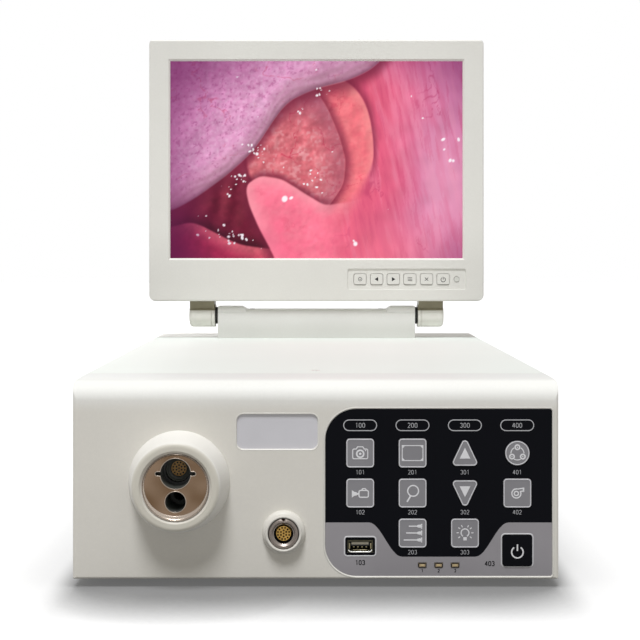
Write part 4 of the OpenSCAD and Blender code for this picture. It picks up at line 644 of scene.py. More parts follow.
# Each key's outline, its icon and the figures under it
keyPrints = {
    "key_photo": ("square", "101", cameraIcon()),
    "key_video": ("square", "102", [
        stroke(roundBox(2.0, -0.4, 5.4, 3.9, 0.9), 0.7, True),
        stroke([(0.8, 1.8), (1.5, 2.6), (2.9, 2.6), (3.6, 1.8)], 0.6),
        filled([(-4.8, 1.8), (-3.5, 0.8), (-2.0, 0.5), (-2.0, -1.3), (-3.5, -1.6), (-4.8, -2.6)]),
        stroke([(-2.0, -0.4), (-0.7, -0.4)], 1.1)]),
    "key_full_screen": ("square", "201", frameIcon(5.95, 4.3, 1.8)),
    "key_zoom": ("square", "202", [
        stroke(arc(0.3, 1.3, 3.1), 0.75, True), stroke([(-1.2, -1.7), (-3.2, -5.0)], 0.95)]),
    "key_endoscope": ("square", "203", scopesIcon()),
    "key_bright": ("up", "301", solidTriangle(1)),
    "key_dark": ("down", "302", solidTriangle(-1, 0.8)),
    "key_lamp": ("square", "303", bulbIcon()),
    "key_air_flow": ("round", "401", airFlowIcon()),
    "key_pump": ("square", "402", [
        stroke(arc(-0.6, -0.2, 2.6, 75, 395), 0.75), stroke(arc(-0.6, -0.2, 1.2), 0.75, True),
        stroke([(0.1, 2.35), (3.4, 2.8)], 0.7), stroke([(1.9, 1.0), (3.4, 1.2)], 0.7),
        stroke([(3.5, 0.7), (3.5, 3.2)], 0.9)]),
    "key_power": ("power", "", [
        stroke(arc(0, -0.9, 3.3, 125, 415), 0.8), stroke([(0, 3.6), (0, -0.2)], 0.8)]),
}


def rimPath(kind):
    line, corner = keypad["rim"], keypad["corner"]
    w, h = keypad["square"]
    if kind == "round":
        return arc(0, 0, 7.0 - line / 2)
    if kind == "square":
        return roundBox(0, 0, w - line, h - line, corner - line / 2)
    up = 1 if kind == "up" else -1
    return roundTriangle(up, w / 2 - 1 - corner, h / 2 - 1 - corner, corner - line / 2)[::up]


rimBead = [(-0.30, -0.02), (-0.27, 0.09), (-0.12, 0.17), (0.10, 0.17), (0.26, 0.09), (0.31, -0.02)]
for key, (kind, _, icon) in keyPrints.items():
    x, z = middle(key)
    makePrint("print_" + key, shifted(icon, x, z), keypad["keyFace"], iconInk, "key_grey", 0.07,
              body=key)
    if kind != "power":
        carried("rim_" + key, rimPath(kind) + [x, z], rimBead, keypad["keyFace"], rimInk,
                body=key)
print("stage: key prints,", len(keyPrints))

# Status lights: their middles along the strip, and the figures under them
leds = {"inset": 2.3, "rim": (4.15, 2.2, 0.5), "core": (2.3, 0.9, 0.3), "figureDown": 3.15,
        "figure": 1.7}
ledLow, ledHigh = [corner.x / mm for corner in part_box("status_leds")]
ledPlaces = [(x, middle("status_leds")[1])
             for x in np.linspace(ledLow + leds["inset"], ledHigh - leds["inset"], 3)]


# What is printed on the sheets: pills with plain figures, and figures under the keys and lights
def sheetPrints():
    pale, labels, dark = [], [], []
    size = keypad["figure"]
    for i, key in enumerate(("key_photo", "key_full_screen", "key_bright", "key_air_flow")):
        x, up = middle(key)[0], middle("key_photo")[1] + keypad["pillUp"]
        w, h = keypad["pill"]
        pale.append(stroke(roundBox(x, up, w, h, h / 2 - 0.01), keypad["pillLine"], True))
        pale += figureShapes(f"{i + 1}00", x, up, size * 1.1, 0.30)
    for key, (_, text, _) in keyPrints.items():
        x, z = middle(key)
        labels += figureShapes(text, x, z - keypad["labelDown"], size, 0.28)
    for node, text, right, up in (("key_power", "403", -15.8, -7.6), ("usb_shell", "103", 0, -9.3)):
        x, z = middle(node)
        dark += figureShapes(text, x + right, z + up, size * 1.08, 0.52)
    for i, (x, z) in enumerate(ledPlaces):
        dark += figureShapes(str(i + 1), x, z - leds["figureDown"], leds["figure"], 0.36)
    return ("pale", pale, paleInk, "black"), ("labels", labels, labelInk, "black"), (
        "dark", dark, darkInk, "grey")


for name, shapes, colour, sheet in sheetPrints():
    makePrint("sheet_print_" + name, shapes, keypad["face"], colour, "keypad_" + sheet)

# Outlines of the power key and the USB socket, as wider beads
sheetRimInk = film("sheetRim", (212, 212, 215), dust=0.1)
sheetRims = {"rim_power": ("key_power", 18.1, 18.9, 2.1), "rim_usb": ("usb_shell", 18.0, 11.1, 1.6)}
wideBead = [(across * 1.4, up) for across, up in rimBead]
for name, (node, *box) in sheetRims.items():
    carried(name, roundBox(*middle(node), *box), wideBead, keypad["face"], sheetRimInk)

# Inside the USB socket: bright bottom lip, side springs, the tongue's pale front and contacts
ux, uz = middle("usb_shell")
usb = {
    "lip": [(-6.7, -1.9), (-6.35, -2.5), (-5.8, -3.0), (-5.1, -3.15), (5.1, -3.15), (5.8, -3.0),
            (6.35, -2.5), (6.7, -1.9)],
    "bead": [(-0.34, -0.05), (-0.32, 0.07), (-0.12, 0.22), (0.14, 0.29), (0.34, 0.20),
             (0.39, -0.05)],
    "springs": [(-6.15, 0.1, 0.75, 3.2, 0.2), (6.15, 0.1, 0.75, 3.2, 0.2),
                (0, -2.2, 8.2, 0.4, 0.15)],
    "contacts": [(x, -0.75, 0.9, 0.7, 0.1) for x in (-3.6, -1.2, 1.2, 3.6)],
    "tongue_front": [(0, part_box("usb_tongue")[1].z / mm - uz - 0.85, 9.8, 1.4, 0.15)],
}
springMetal = metal("usbSpring", (132, 124, 98), rough=0.32)
brightLip = metal("brightLip", (222, 221, 216), rough=0.22, tarnish=0.06)
tongueFront = film("tongueFront", (196, 190, 172), rough=0.4, dust=0.2)
usbFace, tongueFace = frontOf("usb_shell"), frontOf("usb_tongue")
carried("usb_bottom_lip", np.array(usb["lip"]) + [ux, uz], usb["bead"], usbFace + 0.05, brightLip,
        closed=False)
for name, level, finish, slot, thick in (
        ("springs", usbFace + 1.9, springMetal, "socket_steel", 1.5),
        ("tongue_front", tongueFace, tongueFront, "black_plastic", 0.12),
        ("contacts", tongueFace + 0.6, springMetal, "socket_steel", 0.1)):
    boxes = [filled(roundBox(ux + x, uz + z, w, h, r)) for x, z, w, h, r in usb[name]]
    makePrint("usb_" + name, boxes, level, finish, slot, thick)

# On each status light a dark rim, and a paler core that is a painted highlight
ledFace = frontOf("status_leds")
makePrint("led_rims", [stroke(roundBox(*at, *leds["rim"]), 0.55, True) for at in ledPlaces],
          ledFace, film("ledRim", (40, 36, 28), rough=0.4), "led_amber", 0.08)
makePrint("led_core_highlights", [filled(roundBox(*at, *leds["core"])) for at in ledPlaces],
          ledFace, film("ledCorePaintedHighlight", (208, 188, 142), rough=0.2), "led_amber", 0.05)
print("stage: keypad details")

# Rolled edges where the case meets the keypad and the plate, from the recess up to the case's face
edges = {
    "left": 18.5, "right": 2.0, "plate": (47.0, 20.4, 4.0),
    "keypadProfile": [(-0.62, -0.02), (-0.50, 0.10), (-0.26, 0.24), (0.02, 0.325), (0.3, 0.335),
                      (0.6, 0.31), (0.66, 0.24)],
    "plateProfile": [(-0.30, -0.02), (-0.26, 0.5), (-0.10, 0.86), (0.16, 1.05), (0.45, 1.08),
                     (0.72, 1.0), (0.78, 0.9), (0.3, -0.02)],
}
edgePlastic = coated("rolledEdge", (228, 226, 219), rough=0.34, gloss=0.5)


def keypadOutline():
    # Four quarter arcs, the left two and the right two with their own radii
    low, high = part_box("keypad_film")
    x0, x1, z0, z1 = [v / mm for v in (low.x, high.x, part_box("keypad_band")[0].z, high.z)]
    left, right = edges["left"], edges["right"]
    corners = [(x1 - right, z1 - right, right, 0), (x0 + left, z1 - left, left, 90),
               (x0 + left, z0 + left, left, 180), (x1 - right, z0 + right, right, 270)]
    return np.concatenate([arc(x, z, r, a, a + 90, 15) for x, z, r, a in corners])


carried("keypad_edge", keypadOutline(), edges["keypadProfile"], keypad["face"], edgePlastic)
carried("plate_edge", roundBox(*middle("name_plate"), *edges["plate"]), edges["plateProfile"],
        frontOf("name_plate"), edgePlastic)
print("stage: rolled edges")

# Symbols on the monitor's buttons
buttonInk = film("buttonPrint", (34, 34, 36), rough=0.45, dust=0.1)
buttonIcons = [
    [stroke(arc(0, 0, 1.5), 0.4, True), filled(arc(0, 0, 0.5))],
    [filled([(-1.7, 0), (1.2, -1.8), (1.2, 1.8)])],
    [filled([(1.7, 0), (-1.2, 1.8), (-1.2, -1.8)])],
    [stroke([(-1.9, up), (1.9, up)], 0.42) for up in (-1.2, 0, 1.2)],
    [stroke([(-1.4, -1.3), (1.4, 1.3)], 0.45), stroke([(-1.4, 1.3), (1.4, -1.3)], 0.45)],
    [stroke(arc(0, -0.4, 1.9, 120, 420), 0.5), stroke([(0, 2.0), (0, -0.3)], 0.5)],
]
for i, icon in enumerate(buttonIcons):
    name = f"monitor_button_{i + 1}"
    makePrint("print_" + name, shifted(icon, *middle(name)), frontOf("monitor_button_1"), buttonInk,
              "monitor_plastic", 0.05, body=name)
print("stage: button symbols")


# Screen picture: a flat sheet whose colours are worked out as a lit, wet, folded surface
picture = {"across": 356, "up": 240, "forward": 0.15, "edge": 3.0, "glow": 1.0, "seed": 5}


def smoothNoise(x, y, size, seed):
    # Random values on a square lattice, joined by a smooth cubic step both ways
    values = np.random.default_rng(seed).random((64, 64))
    u, v = x / size + 7.3, y / size + 3.1
    i, j = np.floor(u).astype(int), np.floor(v).astype(int)
    a, b = u - i, v - j
    a, b = a * a * (3 - 2 * a), b * b * (3 - 2 * b)

    def row(q):
        return values[i % 64, q % 64] * (1 - a) + values[(i + 1) % 64, q % 64] * a

    return row(j) * (1 - b) + row(j + 1) * b


def layered(x, y, size, seed, layers=4):
    # Noise at halving sizes and falling weights
    total = sum(smoothNoise(x, y, size / 2 ** k, seed + k) * 0.6 ** k for k in range(layers))
    return total / sum(0.6 ** k for k in range(layers))


def relief(x, y, size, seed):
    # Slope of the noise towards the upper left, as light from there would show it
    step = size * 0.12
    ahead, behind = [layered(x + s, y - s, size, seed, 3) for s in (step, -step)]
    return (ahead - behind) * 2.2


def ease(low, high, value):
    share = np.clip((value - low) / (high - low), 0, 1)
    return share * share * (3 - 2 * share)


def vessels(x, y, size, seed, width):
    # Thin lines where a warped noise crosses its middle, kept only in patches
    u = x + 0.25 * size * (layered(x, y, size * 0.5, seed + 9) - 0.5) * 4
    line = 1 - ease(0.0, width, np.abs(layered(u, y, size, seed, 3) - 0.5))
    return line * ease(0.45, 0.62, smoothNoise(x, y, size * 0.9, seed + 5))


def laid(colour, *layers):
    # Tones laid over a colour in turn, each as far as its mask says
    colour = np.asarray(colour, float)
    for mask, tone in layers:
        colour = colour * (1 - mask[..., None]) + np.asarray(tone, float) * mask[..., None]
    return colour


def mound(x, y, cx, cy, rx, ry, lean):
    # Squared distance from a leaning oval's centre, 1 at its edge
    c, s = math.cos(lean), math.sin(lean)
    u, v = (x - cx) * c + (y - cy) * s, (y - cy) * c - (x - cx) * s
    return (u / rx) ** 2 + (v / ry) ** 2


def bend(value, points):
    # Height of a given line at each value, its corners rounded by a sliding mean
    xs, ys = zip(*points)
    fine = np.linspace(xs[0], xs[-1], 240)
    weights = np.hanning(27)
    padded = np.pad(np.interp(fine, xs, ys), 13, "edge")
    return np.interp(value, fine, np.convolve(padded, weights / weights.sum(), "valid"))


# Clusters of wet spots: middle, spread, count and size, as shares of the picture's height
clusters = [
    (0.42, 0.55, 0.05, 0.03, 14, 0.0045), (0.34, 0.40, 0.035, 0.02, 12, 0.0045),
    (0.36, 0.11, 0.05, 0.025, 14, 0.005), (0.20, 0.16, 0.05, 0.05, 9, 0.004),
    (0.72, 0.40, 0.04, 0.06, 10, 0.0045), (0.78, 0.84, 0.03, 0.015, 8, 0.004),
    (1.40, 0.55, 0.04, 0.05, 5, 0.008), (0.59, 0.31, 0.02, 0.01, 3, 0.009),
    (0.94, 0.06, 0.02, 0.03, 2, 0.010), (0.66, 0.73, 0.02, 0.03, 3, 0.006),
    (0.70, 0.50, 0.45, 0.35, 12, 0.003), (0.30, 0.25, 0.02, 0.10, 7, 0.0045),
]


def wetSpots(x, y):
    # Small leaning ovals, each a bell curve; the strongest one counts
    dice = np.random.default_rng(picture["seed"])
    spots = np.zeros_like(x)
    for cx, cy, sx, sy, count, size in clusters:
        for dx, dy, turn, thin, grow in dice.random((count, 5)) * 2 - 1:
            wide = size * (1.25 + 0.5 * grow)
            far = mound(x, y, cx + dx * sx * 1.3, cy + dy * sy * 1.3, wide,
                        wide * (0.72 + 0.25 * thin), turn * 3)
            spots = np.maximum(spots, np.exp(-far * 0.8) * (0.8 + 0.2 * grow))
    return spots


# Lines of the folds, given as (across, up) or (up, across)
foldLines = {
    "floor": [(0.0, 0.16), (0.12, 0.20), (0.22, 0.15), (0.34, 0.085), (0.5, 0.06), (1.6, 0.0)],
    "right": [(0.0, 0.66), (0.20, 0.74), (0.28, 0.81), (0.38, 0.875), (0.50, 0.885), (0.62, 0.85),
              (0.76, 0.79), (0.90, 0.70), (1.2, 0.6)],
    "back": [(0.0, 0.62), (0.28, 0.54), (0.38, 0.43), (0.47, 0.40), (1.2, 0.38)],
    "left": [(0.0, 0.53), (0.15, 0.46), (0.28, 0.41), (0.36, 0.395), (0.42, 0.43), (1, 0.8)],
    "top": [(0.32, 0.28), (0.40, 0.38), (0.47, 0.42), (0.57, 0.40), (0.68, 0.33), (0.78, 0.275),
            (0.90, 0.29), (1.2, 0.36)],
    "mass": [(0, 0.24), (0.15, 0.32), (0.30, 0.42), (0.42, 0.53), (0.52, 0.70), (0.60, 0.80),
             (0.72, 0.86), (0.90, 0.90), (1.02, 0.95), (1.12, 1.06), (1.6, 1.4)],
}


def tissueColours(x, y):
    # x runs 0 to 1.48 across and y 0 to 1 up. Folds are laid from back to front: each is a soft
    # region, shades what lies behind its edge, and has its own mottling, slope light and vessels
    wx = x + 0.04 * (layered(x, y, 0.45, 1, 2) - 0.5)
    wy = y + 0.04 * (layered(x, y, 0.45, 11, 2) - 0.5)
    mottle = layered(x, y, 0.14, 21)
    small = layered(x, y, 0.030, 25, 3)
    tiny = layered(x, y, 0.013, 29, 2)
    streak = layered(x * 4 + y * 0.9, y * 0.6, 0.13, 71)
    thread = layered(x * 7 + y * 1.2, y * 0.7, 0.10, 75, 3)
    wide = layered(x, y, 0.4, 77, 2)

    def fold(colour, inside, own, reach):
        return laid(colour, (reach * (1 - inside), (112, 30, 56)), (inside, own))

    def skin(body, pale, deep, rough, veins, seed, *tones):
        own = laid(np.array(body) * (0.92 + 0.16 * mottle[..., None]),
                   (rough * ease(0.50, 0.78, small), pale), (rough * ease(0.50, 0.24, small), deep))
        own = own * (1 + rough * 0.35 * relief(x, y, 0.045, 91 + seed)[..., None])
        return laid(own, (veins * vessels(x, y, 0.12, 41 + seed, 0.03), (190, 48, 76)), *tones)

    # Right wall: rose in the middle to lilac at the side, with fine upright streaks
    colour = laid(
        (232, 92, 122), (ease(0.86, 1.45, wx + 0.35 * (wide - 0.5)), (218, 138, 176)),
        (0.30 * ease(0.45, 0.75, streak), (246, 160, 186)),
        (0.26 * ease(0.50, 0.28, streak), (206, 78, 118)),
        (0.24 * ease(0.56, 0.68, thread), (198, 66, 108)),
        (0.45 * ease(0.50, 0.8, wide) * ease(0.85, 1.1, x), (240, 164, 192)),
        (0.40 * vessels(x, y * 0.5, 0.11, 31, 0.02), (178, 54, 98)),
        (0.35 * ease(0.30, 0.0, y) * ease(0.85, 1.0, x), (246, 140, 164)))

    # Hollow at the lower left, ridged across, with a lit fold under it
    ridge = 0.5 + 0.5 * np.sin((wx * 0.85 - wy * 0.25) * 70 + 6 * mottle)
    floor = wy - bend(wx, foldLines["floor"])
    hollow = laid((104, 22, 46), (0.5 * ridge * ease(0.05, 0.36, wy), (176, 74, 88)))
    hollow = laid(hollow * (1 - 0.35 * ease(0.06, 0.0, floor)[..., None]),
                  (ease(0.006, -0.006, floor),
                   laid((214, 96, 112), (ease(0.0, -0.10, floor), (176, 44, 74)))))
    colour = laid(colour, (ease(0.58, 0.46, wx) * ease(0.52, 0.38, wy),
                           hollow * (0.86 + 0.28 * small[..., None])),
                  (0.70 * ease(0.24, 0.02, wx) * ease(0.42, 0.22, wy), (92, 14, 48)))

    # Orange fold that curves round the lobe; its edge is crisp above and melts into the wall below
    far = np.sqrt(mound(wx, wy, 0.74, 0.50, 0.285, 0.43, -0.12))
    own = skin((240, 118, 128), (250, 152, 154), (224, 86, 110), 0.24, 0.30, 1,
               (0.45 * ease(0.82, 1.0, far), (250, 164, 160)))
    colour = fold(colour, ease(1.01, 0.98 - 0.40 * ease(0.52, 0.22, wy), far), own,
                  0.55 * ease(1.13, 1.0, far) * ease(0.34, 0.52, wy))

    # Bumpy lobe in the middle, between a crisp right edge and the folds in front of it
    right = bend(wy, foldLines["right"]) - wx
    back = wx - bend(wy, foldLines["back"])
    own = skin((216, 112, 122), (236, 166, 170), (186, 78, 92), 0.42, 0.60, 2,
               (0.45 * ease(0.60, 0.80, layered(x, y, 0.022, 33, 2)), (242, 186, 190)),
               (0.50 * ease(0.16, 0.0, right), (158, 84, 106)),
               (0.45 * ease(0.62, 0.84, wy), (176, 92, 118)),
               (0.40 * ease(0.50, 0.34, wy) * ease(0.7, 0.5, wx), (232, 124, 120)))
    colour = fold(colour, ease(-0.005, 0.005, right) * ease(-0.008, 0.012, back), own,
                  0.65 * ease(-0.06, 0.0, right) * ease(-0.05, 0.0, back))

    # Smooth lobe in front, pointed to the upper left and open to the right
    left = wx - bend(wy, foldLines["left"])
    top = bend(wx, foldLines["top"]) - wy
    own = skin((250, 122, 148), (255, 156, 172), (236, 84, 124), 0.16, 0.14, 3,
               (0.55 * ease(0.09, 0.0, np.minimum(left, top)), (255, 172, 182)),
               (0.45 * ease(0.42, 0.62, layered(x, y, 0.2, 61, 2)) * ease(0.1, 0.3, top),
                (238, 92, 130)))
    inside = ease(-0.005, 0.006, left) * ease(-0.006, 0.008, top) * ease(1.02, 0.72, wx)
    near = ease(-0.07, 0.0, left) * ease(-0.05, 0.0, top) * ease(0.92, 0.70, wx)
    colour = fold(colour, inside, own, 0.70 * near)

    # Lilac mass over the upper left, paler mottles, fine specks, duller and wrinkled at its edge
    depth = wy - bend(wx, foldLines["mass"])
    crease = 0.5 + 0.5 * np.sin(depth * 130 + 9 * layered(x, y, 0.12, 63, 2))
    own = skin((226, 160, 200), (240, 192, 224), (200, 126, 170), 0.30, 0.34, 4,
               (0.50 * ease(0.64, 0.80, tiny), (178, 98, 146)),
               (0.30 * ease(0.42, 0.26, tiny), (246, 206, 230)),
               ((0.55 + 0.25 * crease) * ease(0.17, 0.02, depth), (170, 122, 142)),
               (0.60 * ease(0.035, 0.0, depth), (112, 62, 84)))
    colour = fold(colour, ease(-0.005, 0.006, depth), own, 0.75 * ease(-0.10, 0.0, depth))

    # Slope light over the whole, then the wet spots and the dark corners
    colour = laid(
        colour * (1 + 0.06 * relief(x, y, 0.16, 101)[..., None]),
        (0.97 * ease(0.22, 0.6, wetSpots(x, y)), (255, 250, 255)),
        (0.68 * ease(0.60, 1.15, np.hypot((x - 0.84) / 0.92, (y - 0.44) / 0.78)), (96, 20, 78)))
    return np.clip(colour, 0, 255) / 255


def makePicture():
    low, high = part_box("lcd_panel")
    edge = picture["edge"] * mm
    across = np.linspace(low.x + edge, high.x - edge, picture["across"])
    up = np.linspace(low.z + edge, high.z - edge, picture["up"])
    gx, gz = np.meshgrid(across, up)
    points = np.stack([gx, np.full_like(gx, low.y - picture["forward"] * mm), gz], 2)
    ni, nj = gx.shape
    first = (np.arange(ni - 1)[:, None] * nj + np.arange(nj - 1)).ravel()
    faces = np.stack([first, first + 1, first + nj + 1, first + nj], 1)
    mesh = bpy.data.meshes.new("screen_picture")
    mesh.from_pydata(points.reshape(-1, 3).tolist(), [], faces.tolist())
    height = up[-1] - up[0]
    seen = tissueColours((gx - across[0]) / height, (gz - up[0]) / height)
    colours = mesh.color_attributes.new("tissue", "FLOAT_COLOR", "POINT")
    full = np.concatenate([toLinear(seen).reshape(-1, 3), np.ones((ni * nj, 1))], 1)
    colours.data.foreach_set("color", full.ravel())

    def varying(place):
        seen = place.add("ShaderNodeVertexColor", {"layer_name": "tissue"}, output="Color")
        return {"Emission Color": seen, "Roughness": 0.10 + noise(place, 0.05, 3) * 0.08}

    mesh.materials.append(makeMaterial("tissuePicture", {
        "Base Color": tint(8, 8, 9), "Specular IOR Level": 0.08,
        "Emission Strength": picture["glow"]}, varying))
    thing = addObject("screen_picture", mesh)
    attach(thing, "monitor")


makePicture()
print("stage: screen picture")

# Polished lip round the scope's face: its inner side is a quarter of an oval, where the reach out
# goes with the sine of the angle and the rise with one less its cosine. The lip is real, but its
# width grows from the top to the bottom as a painted reflection, so that its pale metal is widest
# where light is reflected
faceAt, (faceX, faceZ), faceRadius = (scopeFace[part] for part in ("front", "centre", "radius"))
faceRing = arc(faceX, faceZ, faceRadius, steps=96)
quarter = np.linspace(0, math.pi / 2, 9)
lipProfile = np.concatenate([
    np.stack([-1.8 + 1.55 * np.sin(quarter), 1.1 * (1 - np.cos(quarter))], 1),
    [(0.0, 1.12), (0.05, 1.0), (0.05, -0.03), (-1.8, -0.03)]])
down = np.clip((1 - (faceRing[:, 1] - faceZ) / faceRadius) / 2, 0, 1)
carried("scope_face_lip", faceRing, lipProfile, faceAt,
        metal("polishedLip", (168, 156, 144), rough=0.24, tarnish=0.05),
        wide=(0.45 + 1.0 * down ** 2.5, np.ones_like(down)))


def plugOutline():
    # The plug's circle with a key slot run out at each side, against the clock
    x, z, r = scopeFace["plug"]
    half, reach = 1.05, 11.3
    a = math.degrees(math.asin(half / r))
    rows = [arc(0, 0, r, a, 180 - a, 40), arc(half - reach, 0, half, 90, 270, 9),
            arc(0, 0, r, 180 + a, 360 - a, 40), arc(reach - half, 0, half, -90, 90, 9)]
    return np.concatenate(rows) + [x, z]


rimMetal = metal("boreRim", (158, 146, 134), tarnish=0.05)
bead = [(-0.03, -0.03), (-0.02, 0.10), (0.10, 0.20), (0.28, 0.20), (0.42, 0.10), (0.48, -0.03)]
for name, path in (("plug", plugOutline()), ("guide", arc(*scopeFace["guide"], steps=64))):
    carried(name + "_bore_rim", path, bead, faceAt, rimMetal)

# Camera socket: a sunk lip on its collar, a stepped ring inside it, a black line round the ring
# that is full at the top and flat at the bottom, which is painted shade, and a key notch at its
# top, filled dark as painted shade
cameraRing = {
    "centre": (-18.3, 32.4), "radius": 7.3, "face": frontOf("camera_socket_shell"),
    "steps": [(1.40, -0.03), (1.38, 0.02), (0.64, 0.66), (0.56, 0.50), (0.42, 0.50),
              (0.34, 0.70), (0.06, 0.74), (-0.08, 0.60), (-0.20, 0.60), (-0.28, 0.98),
              (-0.40, 0.98), (-1.50, 0.03), (-1.60, -0.50), (-1.60, -0.80)],
    "lip": [(1.42, -0.05), (1.44, 0.04), (2.25, 0.55), (2.7, 0.50), (3.3, 0.05), (3.3, -0.05)],
    "gap": [(1.36, -0.03), (1.38, 0.10), (1.62, 0.30), (1.66, 0.24), (1.66, -0.03)],
    "notch": [(1.15, 1.35), (-1.15, 1.35), (-0.3, 0.05), (0.3, 0.05)],
}
cameraX, cameraZ = cameraRing["centre"]
cameraPath = arc(cameraX, cameraZ, cameraRing["radius"], steps=96)
# Share of the way up the ring; the black line's rise follows it, a painted shade at the top that
# flattens out at the bottom
high = np.clip((1 + (cameraPath[:, 1] - cameraZ) / cameraRing["radius"]) / 2, 0, 1)
ringMetal = metal("cameraRing", (140, 131, 124), rough=0.38, axis=cameraRing["centre"], tarnish=0.2)
for name, part, finish, slot, wide in (
        ("trim", "steps", ringMetal, "socket_steel", None),
        ("lip", "lip", materials["bezel_plastic"], "bezel_plastic", None),
        ("gap", "gap", materials["black_plastic"], "black_plastic",
         (np.ones_like(high), np.clip(high * 1.6, 0, 1)))):
    carried("camera_ring_" + name, cameraPath, cameraRing[part], cameraRing["face"], finish,
            wide=wide)
# Painted shade: the key notch is filled with a dark block for the shade inside it
notch = np.array(cameraRing["notch"]) + [cameraX, cameraZ + cameraRing["radius"]]
makePrint("camera_key_notch", [filled(notch)], cameraRing["face"],
          film("notchPaintedShade", (30, 11, 8), rough=0.6, dust=0.0, gloss=0.0), "socket_steel", 0.72)


# What is seen deep in the sockets: a stepped ring, painted grey as painted light where the real one
# is black, with the scope's contact face, and the camera socket's gold contact face, each with its
# rows of holes drawn as dark dots, which are painted shade
def contactDots(x, z, outer, size):
    # One dot in the middle, six round it, and twelve further out that are turned by half a step
    dots = []
    for radius, count in ((0.01, 1), (1.72, 6), (outer, 12)):
        turn = np.radians((np.arange(count) + count // 12 / 2) * 360 / count + 90)
        dots += [filled(arc(x + radius * math.cos(a), z + radius * math.sin(a), size, steps=10))
                 for a in turn]
    return dots


plugAt, cameraAt = scopeFace["plug"][:2], cameraRing["centre"]
pins = {"tip": frontOf("scope_pin_insert"), "ring": 6.0, "face": 4.47, "rise": 1.0, "outer": 3.42,
        "hole": 0.50, "profile": [(1.06, -2.9), (1.06, 3.2), (0.7, 3.4), (-0.2, 2.5), (-0.5, 2.4),
                                  (-1.5, 1.7), (-1.55, -2.9)]}
gold = {"front": frontOf("camera_socket_insert"), "face": 4.2, "rise": 4.5, "outer": 3.3,
        "hole": 0.55}
# Painted light: the ring is black but painted grey, standing in for light on its front edge that
# does not reach it here
carried("plug_inner_ring", arc(*plugAt, pins["ring"], steps=64), pins["profile"], pins["tip"],
        coated("innerRingPaintedLight", (84, 86, 80), rough=0.4, cloud=0.2))
makePrint("plug_contact_face", [filled(arc(*plugAt, pins["face"], steps=48))], pins["tip"],
          film("contactFace", (218, 172, 108), rough=0.38, dust=0.3), "contact_gold", pins["rise"])
# Painted shade: dark dots for the holes
makePrint("plug_contact_hole_shade", contactDots(*plugAt, pins["outer"], pins["hole"]),
          pins["tip"] - pins["rise"], film("contactHolePaintedShade", (26, 20, 14), rough=0.5), "black_plastic")
makePrint("camera_contact_face", [filled(arc(*cameraAt, gold["face"], steps=48))], gold["front"],
          metal("goldFace", (192, 154, 84), rough=0.34, tarnish=0.4), "contact_gold", gold["rise"])
# Painted shade: dark dots for the holes
makePrint("camera_contact_hole_shade", contactDots(*cameraAt, gold["outer"], gold["hole"]),
          gold["front"] - gold["rise"],
          film("goldHolePaintedShade", (24, 7, 3), rough=0.6, dust=0.0, gloss=0.0), "contact_gold", 0.04)

# Two small screws on top of the hinge neck
neckScrew = {"x": 55, "y": 132.5, "radius": 1.6, "top": 144.5,
             "profile": [(-1.55, -0.03), (-1.55, 0.34), (-0.9, 0.40), (0.35, 0.34), (0.75, 0.16),
                         (0.8, -0.03)]}
for i, side in enumerate((-1, 1)):
    ring = arc(side * neckScrew["x"], neckScrew["y"], neckScrew["radius"], steps=24)
    carried(f"neck_top_screw_{i + 1}", ring, neckScrew["profile"], neckScrew["top"],
            materials["screw_steel"], side="top")
print("stage: socket pieces")

# Plain marks and bare plates on the back, drawn as seen from behind
panelBack, monitorBack = (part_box(node)[1].y / mm for node in ("rear_panel", "monitor_back"))
backInk = film("backPrint", (246, 246, 243), rough=0.45, dust=0.1)
ratingPlate = film("ratingPlate", (236, 237, 236), rough=0.35, dust=0.2)
plateRise = 0.25
wave = np.linspace(-1, 1, 25)
backMarks = [
    *figureShapes("1", 30, 96.5, 5, 0.8), *figureShapes("2", 6, 96.5, 5, 0.8),
    *figureShapes("3", 18, 44.5, 5, 0.8),
    stroke(roundBox(18, 71, 56, 62, 3), 0.8, True),
    stroke(np.stack([92 + wave * 5, 88 + 1.6 * np.sin(wave * math.pi)], 1), 0.9),
    stroke(roundBox(92, 22, 13, 4.4, 0.8), 0.8, True), stroke([(82, 22), (102, 22)], 0.7),
    stroke(arc(-78, 19, 4.4, steps=40), 0.8, True),
    *[stroke(arc(-78 + 1.9 * math.cos(a), 19 + 1.9 * math.sin(a), 1.5, steps=16), 0.7, True)
      for a in np.radians((90, 210, 330))],
]
makePrint("back_marks", backMarks, panelBack, backInk, "sheet_metal", out=1)


def barePlate(names, box, span, rows, level, slot, body):
    # A plate with rounded corners and level lines on it
    makePrint(names[0], [filled(roundBox(*box))], level, ratingPlate, slot, plateRise, 1, body)
    makePrint(names[1], [stroke([(span[0], z), (span[1], z)], 0.5) for z in rows],
              level + plateRise, darkInk, slot, out=1, body=body)


barePlate(("rating_plate", "rating_lines"), (18, 24, 56, 22, 1.5), (-4, 40), (17, 21.5, 26, 30.5),
          panelBack, "sheet_metal", "base_unit")
barePlate(("monitor_plate", "monitor_plate_lines"), (0, 196, 64, 24, 2), (-27, 27),
          (188.5, 193.5, 198.5, 203.5), monitorBack, "monitor_plastic", "monitor")
screw = {"radius": 2.6, "slot": 1.5, "slotAt": 0.30, "slotThick": 0.11,
         "profile": [(-2.55, -0.03), (-2.55, 0.30), (-1.2, 0.42), (0.1, 0.38), (0.5, 0.15),
                     (0.55, -0.03)],
         "places": [(x, z) for xs, zs in (((-122, 122), (172, 352)), ((-37.5, 37.5), (236, 311)))
                    for x in xs for z in zs]}
for i, (x, z) in enumerate(screw["places"]):
    carried(f"monitor_screw_{i + 1}", arc(x, z, screw["radius"], steps=32), screw["profile"],
            monitorBack, materials["screw_steel"], side="back", body="monitor")
crosses = [stroke([(-x - u, z - v), (-x + u, z + v)], 0.6) for x, z in screw["places"]
           for u, v in ((screw["slot"], 0), (0, screw["slot"]))]
makePrint("monitor_screw_slots", crosses, monitorBack + screw["slotAt"], darkInk, "screw_steel",
          screw["slotThick"], 1, "monitor")
print("stage: back")
